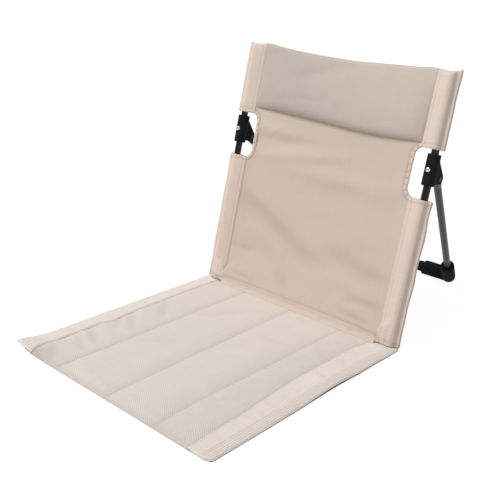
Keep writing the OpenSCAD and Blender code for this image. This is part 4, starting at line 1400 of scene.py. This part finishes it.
def panel_base(x, s):
    """The panel as it would hang without folds: how far it lies behind the posts' plane."""
    rise = np.clip((s - PANEL_FOOT) / (WINDOW_TOP - PANEL_FOOT), 0, 1)
    belly = PANEL_BELLY * (1 - (x / SLEEVE_IN) ** 2) * np.sin(math.pi * rise) ** BELLY_FULLNESS
    return belly - foot_pull(x, s) - SIDE_OUT * to_side(x) ** SIDE_SHARPNESS


def panel_folds(x, s):
    return FOLD_RISE * folds_of(x, s, PANEL_FOLDS_MM)


def panel_waves(x, s):
    """The panel's folds: the long ones that are seen, and a few small waves between them."""
    free = (1 - to_side(x) ** 8) * ramp(s, PULL_FROM, WAVES_FROM)
    waves = waves_of(x, s, PANEL_WAVES_MM) * free * MM
    return waves + panel_folds(x, s) * (1 - to_side(x) ** SIDE_SHARPNESS) * ramp(s, *FOLDS_FROM)


# %% Back panel
SIDE_SHARES = np.sin(np.pi / 2 * np.linspace(-1, 1, 96))
PANEL_ROWS = ((24 * MM, 15), (WINDOW_FOOT - BINDING_W, 71), (WINDOW_TOP + BINDING_W, 69), (BACK_H, 29))
PANEL_SHORT = 3 * MM
HELD_TOP = 30 * MM
HEM_SINK = (0.2 * MM, 1.2 * MM)
# Painted shade on the panel: darker along the hem, beside the sleeves and bindings, and where folds go back.
HEM_LINE = (0.05, 1 * MM)
SLEEVE_LINE = (0.03, 1.6 * MM)
BINDING_LINE = (0.2, 1.6 * MM)
PANEL_FOLD_DARK = FOLD_DARK / 2
HEM_THREAD_UP = 0.1 * MM


def panel_shade(x, s):
    """The panel's painted shade: darker at its hem, sides and bindings, and where folds go back."""
    shade = 1 - seam(s - PULL_FROM, HEM_LINE) - seam(panel_edge(s) - np.abs(x), SLEEVE_LINE)
    shade = shade * (1 - seam(window_edge(s, BINDING_W) - np.abs(x), BINDING_LINE))
    return shade * (1 - PANEL_FOLD_DARK * dents(-panel_folds(x, s)))


def back_panel():
    share, s = np.meshgrid(SIDE_SHARES, stretches(PANEL_FOOT, *PANEL_ROWS))
    x = share * panel_edge(s)
    top_end = through(x, TOP_EDGE_MM) - PANEL_SHORT - BACK_H
    s = s + top_end * ramp(s, WINDOW_TOP, BACK_H)
    loose = (1 - share ** 12) * ramp(s, PULL_FROM, WAVES_FROM) * ramp(WINDOW_TOP - s, 0, HELD_TOP)
    grid = settle("panel", on_back(x, panel_base(x, s), s), loose, swell=-0.25, spare=0.003, cap=1.5 * MM)
    back = panel_waves(x, s) + seam(s - PULL_FROM, HEM_SINK)
    grid = grid + back[..., None] * INTO_BACK
    piece = grid_piece("back_panel_cloth", grid, back_cloth, panel_shade(x, s))
    thicken(piece, PANEL_T, side=0)
    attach(piece, "backrest")
    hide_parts("back_panel")


back_panel()
hem_xs = np.linspace(-CREASE_HALF_W, CREASE_HALF_W, 130)
hem_s = np.full_like(hem_xs, PULL_FROM)
hem_b = panel_base(hem_xs, hem_s) + panel_waves(hem_xs, hem_s) - PANEL_T / 2 + HEM_THREAD_UP
sew("panel_stitches", [on_back(hem_xs, hem_b, hem_s)], "backrest", back_thread)
print("back panel from", round(PANEL_FOOT / MM), "to", round(BACK_H / MM), "mm up the back")

# %% [markdown]
# ## The headrest
# The headrest is a thin cushion sewn in front of the panel. Its filling has slipped down
# a little, so it is fullest near its lower edge, which rolls under and throws a soft
# shadow on the panel; the roll itself is painted darker as well. Its cloth folds over the
# panel's top edge, and ends in a hem behind.

# %% The headrest's form
PAD_FOOT_MM = ((-184, 346), (-120, 345), (-13, 341), (60, 337.6), (120, 338), (184, 341))
PAD_OUT = 14 * MM
PAD_EDGE_OUT = 2.4 * MM
PAD_ROLL_H = 24 * MM
PAD_BEHIND = 1.3 * MM
PAD_LINING = 0.7 * MM
PAD_SKIN = 0.8 * MM
PAD_HEM = 9 * MM
PAD_HALF_W = SLEEVE_IN + 0.5 * MM
PAD_SHARPNESS_LEFT = 6
PAD_SHARPNESS_RIGHT = 14
PAD_FULLNESS = 0.8
PAD_THINS = 0.86
PAD_THIN_H = 124 * MM
PAD_SLIM_RIGHT = 0.3
TOP_GAP = 0.4 * MM
PAD_LOOSE_H = (8 * MM, 40 * MM)
PAD_HELD_TOP = 20 * MM
PAD_FOLDS_FOOT = 18 * MM
PAD_FOLDS_TOP = 14 * MM
PAD_REACH = (PAD_BEHIND + PAD_EDGE_OUT) / 2
PAD_MIDDLE = (PAD_BEHIND - PAD_EDGE_OUT) / 2
PAD_WAVES_MM = ((0.5, 1, 70, 51, 0.4), (1, 0.6, 38, 52, 0.15))
PAD_FOLDS_MM = (
    ((-128, 402), (38, 446), 12, -1.9), ((-60, 416), (90, 428), 12, 0.9), ((-88, 373), (-16, 379), 5, -0.9),
    ((-170, 440), (-120, 380), 16, -1.2), ((60, 372), (170, 400), 16, 0.6), ((-150, 366), (-80, 372), 9, -0.7),
)


def pad_out(u, rise):
    """How far the cushion stands out at u across, from -1 to 1, and rise up from its foot."""
    sharpness = np.where(u < 0, PAD_SHARPNESS_LEFT, PAD_SHARPNESS_RIGHT)
    across = (1 - np.abs(u) ** sharpness) ** PAD_FULLNESS
    fade = 1 - ramp(rise, PAD_ROLL_H, PAD_THIN_H) * PAD_THINS
    slim = 1 - PAD_SLIM_RIGHT * ramp(u, 0.3, 1)
    return PAD_EDGE_OUT + (PAD_OUT - PAD_EDGE_OUT) * across * rounded(rise, PAD_ROLL_H) * fade * slim


# %% Headrest
PAD_COLUMNS = np.sin(np.pi / 2 * np.linspace(-1, 1, 110))
PAD_UP_SHARES = 1 - np.cos(np.pi / 2 * np.linspace(0, 1, 54))
# The cushion's painted light and shade: lighter all over and at its top, darker to the left, at its foot, low
# down and along its left edge.
PAD_LIGHT = 1.03
PAD_LEFT_SHADE = 0.17
PAD_FOOT_DARK = 0.24
PAD_FOOT_DARK_H = (-6 * MM, 17 * MM)
PAD_LOW_DARK = 0.04
PAD_LEFT_LINE = (0.12, 0.012)
PAD_TOP_LIGHT = (0.04, 6 * MM)


def pad_shade(u, up, rise, fall):
    """The cushion's painted light and shade: darker to the left, at its foot and at its left edge, lighter at
    its top.
    """
    shade = PAD_LIGHT - PAD_LEFT_SHADE * ramp(-u, -1, 1)
    shade = shade * (1 - PAD_FOOT_DARK * (1 - ramp(rise, *PAD_FOOT_DARK_H))) * (1 - PAD_LOW_DARK * (1 - up))
    return shade * (1 - seam(u + 1, PAD_LEFT_LINE)) * (1 + seam(fall, PAD_TOP_LIGHT))


def headrest():
    u, up = np.meshgrid(PAD_COLUMNS, PAD_UP_SHARES)
    x = u * PAD_HALF_W
    foot = through(x, PAD_FOOT_MM)
    top = through(x, TOP_EDGE_MM) - PAD_REACH - TOP_GAP
    s = foot + (top - foot) * up
    rise, fall = s - foot, top - s
    loose = (1 - u ** 8) * ramp(rise, *PAD_LOOSE_H) * ramp(fall, 0, PAD_HELD_TOP)
    shape = on_back(x, -pad_out(u, rise), s)
    grid = settle("headrest", shape, loose, swell=2.0, spare=0.006, cap=1.5 * MM, stiff=4)
    free = (1 - np.abs(u) ** 6) * ramp(rise, 0, PAD_FOLDS_FOOT) * ramp(fall, 0, PAD_FOLDS_TOP)
    folds = waves_of(x, s, PAD_WAVES_MM) * MM + folds_of(x, s, PAD_FOLDS_MM)
    front = grid - (folds * free)[..., None] * INTO_BACK
    lining = on_back(x, -PAD_LINING, s)
    x, top = x[:1], top[-1:]
    turns = np.linspace(0, np.pi, 9)[1:, None]
    down = np.linspace(0, PAD_HEM, 5)[1:, None]
    outer, inner = (
        [
            on_back(x, PAD_MIDDLE - reach * np.cos(turns), top + reach * np.sin(turns)),
            on_back(x, behind, top - down),
        ]
        for reach, behind in ((PAD_REACH, PAD_BEHIND), (PAD_REACH - PAD_SKIN, PAD_BEHIND - PAD_SKIN))
    )
    rest = np.ones((len(turns) + len(down), len(PAD_COLUMNS)))
    shade = np.concatenate([pad_shade(u, up, rise, fall), rest])
    front, back = np.concatenate([front] + outer), np.concatenate([lining] + inner)
    piece = pad_piece("headrest_cushion", front, back, pad_cloth, shade)
    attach(piece, "backrest")
    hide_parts("headrest_pad")


headrest()
hem_xs = np.linspace(-PAD_HALF_W + 4 * MM, PAD_HALF_W - 4 * MM, 120)
hem_s = through(hem_xs, TOP_EDGE_MM) - PAD_HEM
sew("headrest_stitches", [on_back(hem_xs, PAD_BEHIND, hem_s)], "backrest", back_thread)
print("headrest between the sleeves")

# %% [markdown]
# ## The sleeves
# A sleeve is one turn of cloth round a post. Along the panel it ends in a flat felled
# seam with two lines, then it swells over the tube, and its outer edge is a flat doubled
# flange. The ends are hemmed, and the upper corners stand up in small points. At the foot
# the sleeve goes round the bend of the bar, so there its inner side is blunt.

# %% One half ring of a sleeve
SLEEVE_R = 8.2 * MM
FLANGE_T = 1.3 * MM
FLANGE_STEPS = 6
RING_STEPS = 14
BEND_CORE = 191.3 * MM
CORE_X = POST_X - 2 * MM
SIDE_TURN = 0.85
SIDE_FOOT = 2.4 * MM
SIDE_SINK = 0.3 * MM


def sleeve_ring(core_x, inner_x, inner_t, radius):
    """Half a ring of a sleeve, from its flat outer edge over the tube to its inner seam."""
    inner_h = min(inner_t, radius)
    inner_reach = math.hypot(inner_x - core_x, inner_t)
    stop = math.atan2(inner_h, inner_x - core_x) - math.acos(min(1, radius / inner_reach))
    over = np.linspace(SIDE_TURN, math.pi / 2, RING_STEPS)
    down = np.linspace(math.pi / 2, stop, RING_STEPS)
    side_x = POST_X + radius * math.cos(SIDE_TURN)
    side_h = (FLANGE_T + radius * math.sin(SIDE_TURN)) / 2 - SIDE_SINK
    flat_x = np.linspace(HALF_W, side_x + SIDE_FOOT, FLANGE_STEPS)
    in_x = np.linspace(core_x + radius * math.cos(stop), inner_x, RING_STEPS)[1:]
    in_h = np.linspace(radius * math.sin(stop), inner_h, RING_STEPS)[1:]
    over_x, down_x = POST_X + radius * np.cos(over), core_x + radius * np.cos(down)
    xs = np.concatenate([flat_x, [side_x + SIDE_FOOT / 2], over_x, down_x, in_x])
    flat_h = np.full(FLANGE_STEPS, FLANGE_T)
    hs = np.concatenate([flat_h, [side_h], radius * np.sin(over), radius * np.sin(down), in_h])
    return xs, hs


# %% A sleeve's form
LOWER_FOOT = 0.4 * MM
CLOSE_L = 9 * MM
CLOSED_SHARE = 0.2
BEND_ENDS = (24 * MM, 44 * MM)
FOOT_BLUNT = 6.6 * MM
FOOT_SLIM = 0.8 * MM
FOOT_SLIM_H = 8 * MM
HEM = 7 * MM
HEM_FULLER = 0.05
HEM_PINCH = (0.2, 1.2 * MM)
SEAM_W = 7.5 * MM
FIRST_SEAM = 1.2 * MM
FIRST_SEAM_W = 0.7 * MM
SECOND_SEAM_W = 0.8 * MM
SEAMS_FROM = (2 * MM, 10 * MM)
SEAMS_SINK = 0.35
FLANGE_WANDER = 0.7 * MM
FLANGE_WAVE = 60 * MM
FOOT_LEVEL = 18 * MM
CORNER_FROM = WINDOW_TOP + 40 * MM


def sleeve_core(s, closed):
    """The tube's middle, the inner edge with its half thickness, and the radius, at height s."""
    if closed:
        return CORE_X, SLEEVE_IN, FLANGE_T, SLEEVE_R
    up = float(ramp(s, *BEND_ENDS))
    blunt = FOOT_BLUNT * (1 - float(ramp(s, *BLUNT_ENDS)))
    radius = SLEEVE_R - FOOT_SLIM * (1 - float(ramp(s, 0, FOOT_SLIM_H)))
    return BEND_CORE + (CORE_X - BEND_CORE) * up, float(sleeve_inner(s)), FLANGE_T + blunt, radius


def sleeve_row(s, low, high, seed, closed):
    """Half a ring at height s, its grooves, and its distance from the nearest hemmed end."""
    core_x, inner_x, inner_t, radius = sleeve_core(s, closed)
    xs, hs = sleeve_ring(core_x, inner_x, inner_t, radius)
    from_end = s - low
    if closed:
        end = max(0, 1 - (high - s) / CLOSE_L)
        hs = hs * (CLOSED_SHARE + (1 - CLOSED_SHARE) * math.sqrt(1 - end ** 2))
    else:
        from_end = min(from_end, high - s)
    hem = 1 + HEM_FULLER * (from_end < HEM) - seam(from_end - HEM, HEM_PINCH)
    swell = np.clip((hs - FLANGE_T) / (SLEEVE_R - FLANGE_T), 0, 1)
    creases = waves_of(xs, s, ((0.5, 1, 16, seed, 0.15), (0.4, 1, 45, seed + 1, 0.25)))
    grooves = dip(xs - inner_x - FIRST_SEAM, FIRST_SEAM_W) + dip(xs - inner_x - SEAM_W, SECOND_SEAM_W)
    grooves = grooves * ramp(s, *SEAMS_FROM)
    hs = hs * hem + (creases * swell - SEAMS_SINK * grooves) * MM
    flange = np.clip((xs - POST_X - radius) / (HALF_W - POST_X - radius), 0, 1)
    wander = FLANGE_WANDER * soft_waves(s, 0, FLANGE_WAVE, seed + 2)
    return xs + wander * flange, hs, grooves, from_end


def both_faces(front, back):
    """A whole ring from its front half and its back half, which runs the other way."""
    return np.concatenate([front, back[::-1]])


def sleeve_points(side, s, xs, hs, closed):
    """The points of a whole ring, level with the floor at the foot or up in the corners."""
    x = side * both_faces(xs, xs)
    b = both_faces(-hs, hs)
    if closed:
        up = (through(x, TOP_EDGE_MM) - BACK_H) * ramp(s, CORNER_FROM, BACK_H)
    else:
        up = b * math.tan(RECLINE) * (1 - ramp(s, 0, FOOT_LEVEL)) * (1 - ramp(b, 0, MM))
    return on_back(x, b, s + up)


# %% Sleeves
ROW_STEP = 2.2 * MM
FLANGE_SEAM = 4.6 * MM
FLANGE_LINE = (0.12, 0.9 * MM)
# Painted shade on the sleeves: darker in the seam grooves, along the flange's seam, at the hems, on the right
# sleeves' outer side and at the foot.
GROOVE_DARK = 0.17
HEM_SHADOW = (0.17, 1 * MM)
RIGHT_SLEEVE_DARK = 0.06
RIGHT_SLEEVE_X = (POST_X - 7 * MM, POST_X + 3 * MM)
FOOT_SHADE = 0.95
FOOT_SHADE_H = (8 * MM, 12 * MM)
FELLED_UP = 4 * MM
FLANGE_THREAD_UP = 0.1 * MM
LOWER_SEEDS = 60
UPPER_SEEDS = 70


def sleeve_shade(side, s, xs, grooves, from_end, closed):
    """A sleeve's painted shade: darker in its seams, at its hems and at the foot, and on the right sleeves'
    outer side.
    """
    shade = 1 - GROOVE_DARK * grooves - seam(xs - HALF_W + FLANGE_SEAM, FLANGE_LINE)
    shade = shade - seam(from_end - HEM, HEM_SHADOW)
    if side > 0:
        shade = shade * (1 - RIGHT_SLEEVE_DARK * ramp(xs, *RIGHT_SLEEVE_X))
    if not closed:
        shade = shade * tapered(s, *FOOT_SHADE_H, FOOT_SHADE)
    return both_faces(shade, shade)


def sleeve(name, side, low, high, seed, closed):
    rings, shades = [], []
    for s in np.linspace(low, high, int((high - low) / ROW_STEP)):
        xs, hs, grooves, from_end = sleeve_row(s, low, high, seed, closed)
        rings.append(sleeve_points(side, s, xs, hs, closed))
        shades.append(sleeve_shade(side, s, xs, grooves, from_end, closed))
    rings, shades = np.array(rings), np.array(shades)
    if side < 0:
        rings, shades = rings[:, ::-1], shades[:, ::-1]
    piece = tube_piece(name + "_cloth", rings, sleeve_cloth, shades, ends=closed)
    thicken(piece)
    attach(piece, "backrest")
    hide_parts(name)


def sleeve_lines(side, low, high):
    s = np.linspace(low, high - 2 * MM, 60)
    seam_in = on_back(side * (sleeve_inner(s) + SEAM_W), -FELLED_UP, s)
    seam_out = on_back(side * (HALF_W - FLANGE_SEAM), -FLANGE_T - FLANGE_THREAD_UP, s)
    return [seam_in, seam_out]


sleeve_seams = []
for side, hand in ((-1, "left"), (1, "right")):
    sleeve("lower_sleeve_" + hand, side, LOWER_FOOT, WINDOW_FOOT, LOWER_SEEDS + side, False)
    sleeve("upper_sleeve_" + hand, side, WINDOW_TOP, BACK_H, UPPER_SEEDS + side, True)
    sleeve_seams += sleeve_lines(side, 34 * MM, WINDOW_FOOT)
    sleeve_seams += sleeve_lines(side, WINDOW_TOP + 2 * MM, BACK_H - 8 * MM)
sew("sleeve_stitches", sleeve_seams, "backrest", back_thread)
print("four sleeves round the posts")

# %% [markdown]
# ## Bound cut-outs
# A tape is folded over the cloth's raw edge and sewn down. On the inside of a curve a
# tape has too much length, so it puckers, which gives the binding its row of small lumps,
# with painted shade between them.

# %% The line of a binding
ARC_STEPS = 30
UNDER_END = 4 * MM


def window_path():
    """The middle line of a binding, from below the upper sleeve to above the lower one."""
    grow = BINDING_W / 2
    radius = WINDOW_R + grow
    centre_x = WINDOW_IN - grow + radius
    top = WINDOW_TOP + grow - radius
    foot = WINDOW_FOOT - grow + radius
    end_x = SLEEVE_IN + UNDER_END
    turns = np.linspace(math.pi / 2, math.pi, ARC_STEPS)
    below = turns + math.pi / 2
    straight_x = np.full(ARC_STEPS, centre_x - radius)
    straight_s = np.linspace(top, foot, ARC_STEPS + 2)[1:-1]
    upper_x, lower_x = centre_x + radius * np.cos(turns), centre_x + radius * np.cos(below)
    upper_s, lower_s = top + radius * np.sin(turns), foot + radius * np.sin(below)
    xs = np.concatenate([[end_x], upper_x, straight_x, lower_x, [end_x]])
    ss = np.concatenate([[WINDOW_TOP + grow], upper_s, straight_s, lower_s, [WINDOW_FOOT - grow]])
    return xs, ss


# %% Bindings
TAPE_PLACES = 300
TAPE_SIDES = 24
LUMP_STEP = 10.5 * MM
LUMP_DRIFT = 0.25
LUMP_DRIFT_L = 17 * MM
LUMP_GAP = 0.42
TAPE_H = 1.75 * MM
TAPE_WIDTH_SHARES = (0.96, 0.05)
TAPE_HEIGHT_SHARES = (0.68, 0.42)
SQUARENESS = 0.8
GROOVE_AT = 2.6 * MM
GROOVE_SINK = (0.25, 0.8 * MM)
TAPE_LIGHT = 1.06
TAPE_EDGE_LINE = (0.3, 1.2 * MM)
LUMP_DARK = 0.24


def squarish(wave):
    """A sine or cosine with flatter tops, for a ring between round and square."""
    return np.sign(wave) * np.abs(wave) ** SQUARENESS


def window_binding(side, name):
    xs, ss = window_path()
    run = steps_along(np.stack([xs, ss], axis=-1))
    places = np.linspace(0, run[-1], TAPE_PLACES)
    x, s = np.interp(places, run, xs), np.interp(places, run, ss)
    way = np.stack([np.gradient(x), np.gradient(s)], axis=-1)
    way /= np.linalg.norm(way, axis=1, keepdims=True)
    out_x, out_s = -way[:, 1], way[:, 0]
    turns = round_turns(TAPE_SIDES)
    phase = (places / LUMP_STEP + LUMP_DRIFT * np.sin(places / LUMP_DRIFT_L))[:, None]
    swell = 1 - dip(np.sin(math.pi * phase), LUMP_GAP)
    width, wider = TAPE_WIDTH_SHARES
    height, higher = TAPE_HEIGHT_SHARES
    across = BINDING_W / 2 * (width + wider * swell) * squarish(np.cos(turns))
    rise = TAPE_H * (height + higher * swell) * squarish(np.sin(turns))
    rise = rise * (1 - seam(across + GROOVE_AT, GROOVE_SINK))
    rings = on_back(side * (x[:, None] + out_x[:, None] * across), rise, s[:, None] + out_s[:, None] * across)
    # Painted light and shade on the tape: lighter all over, darker along its edge on the panel's side and
    # between the lumps on its outer part.
    shades = TAPE_LIGHT - seam(across + BINDING_W / 2, TAPE_EDGE_LINE)
    shades = shades * (1 - LUMP_DARK * (1 - swell) * (across > -GROOVE_AT))
    if side < 0:
        rings, shades = rings[:, ::-1], shades[:, ::-1]
    piece = tube_piece(name + "_tape", rings, binding_tape, shades, ends=True)
    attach(piece, "backrest")
    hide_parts(name)
    return on_back(side * (x - out_x * GROOVE_AT), -TAPE_H, s - out_s * GROOVE_AT)


binding_lines = [window_binding(-1, "window_binding_left"), window_binding(1, "window_binding_right")]
sew("binding_stitches", binding_lines, "backrest", back_thread)
print("two bound cut-outs")

# %% [markdown]
# ## Floor, light and lamps
# The chair stands on a plain pale floor. The floor looks white to the camera, to glossy
# paint and through glass, and it keeps a faint shadow. To everything else it is an
# ordinary pale surface. A big lamp from the upper left gives the light its direction, and
# a smaller, weak one from the right lifts the shadows.

# %% Floor and light
WHITE = (1, 1, 1, 1)
FLOOR_HALF = 6
FLOOR_DROP = 0.3 * MM
FLOOR_GLOW = 1.22
GLOW_SHARE = 0.76
WORLD_LIGHT = 0.36
LIT_POINT = (0, 0, 0.15)


def pale_floor():
    mesh = bpy.data.meshes.new("floor")
    corners = [(x * FLOOR_HALF, y * FLOOR_HALF, 0) for x, y in ((-1, -1), (1, -1), (1, 1), (-1, 1))]
    mesh.from_pydata(corners, [], [(0, 1, 2, 3)])
    floor = bpy.data.objects.new("floor", mesh)
    floor.location.z = -FLOOR_DROP
    bpy.context.scene.collection.objects.link(floor)
    finish = Finish("pale floor", Roughness=0.9, Specular_IOR_Level=0.1)
    finish.set("Base Color", colour(226, 226, 226))
    path = finish.node("ShaderNodeLightPath", {}, {})
    seen = finish.sum("MAXIMUM", path, finish.other(path, "Is Glossy Ray"))
    seen = finish.sum("MAXIMUM", seen, finish.other(path, "Is Transmission Ray"))
    glow = finish.node("ShaderNodeEmission", {}, {"Color": WHITE, "Strength": FLOOR_GLOW})
    shader = Wire(finish, finish.shader.outputs[0])
    mixed = finish.node("ShaderNodeMixShader", {}, {0: seen * GLOW_SHARE, 1: shader, 2: glow})
    finish.feed(finish.tree.nodes["Material Output"].inputs["Surface"], mixed)
    mesh.materials.append(finish.material)


def white_world(strength):
    world = bpy.data.worlds.new("white world")
    bpy.context.scene.world = world
    world.use_nodes = True
    nodes, links = world.node_tree.nodes, world.node_tree.links
    path = nodes.new("ShaderNodeLightPath")
    light = nodes["Background"]
    light.inputs["Color"].default_value = WHITE
    light.inputs["Strength"].default_value = strength
    seen = nodes.new("ShaderNodeBackground")
    seen.inputs["Color"].default_value = WHITE
    mixed = nodes.new("ShaderNodeMixShader")
    links.new(path.outputs["Is Camera Ray"], mixed.inputs[0])
    links.new(light.outputs[0], mixed.inputs[1])
    links.new(seen.outputs[0], mixed.inputs[2])
    links.new(mixed.outputs[0], nodes["World Output"].inputs["Surface"])


def lamp(name, place, size, power):
    """A round lamp, turned to the chair."""
    light = bpy.data.lights.new(name, "AREA")
    light.shape = "DISK"
    light.size = size
    light.energy = power
    piece = bpy.data.objects.new(name, light)
    bpy.context.scene.collection.objects.link(piece)
    piece.location = place
    piece.rotation_mode = "QUATERNION"
    piece.rotation_quaternion = (Vector(LIT_POINT) - Vector(place)).to_track_quat("-Z", "Y")


pale_floor()
white_world(WORLD_LIGHT)
lamp("key lamp", (-2.6, -2.2, 4.2), size=2.2, power=196)
lamp("fill lamp", (2.0, -1.6, 1.4), size=1.6, power=9)
bpy.context.scene.view_settings.view_transform = "Standard"
print("a pale floor, a white world and two lamps")
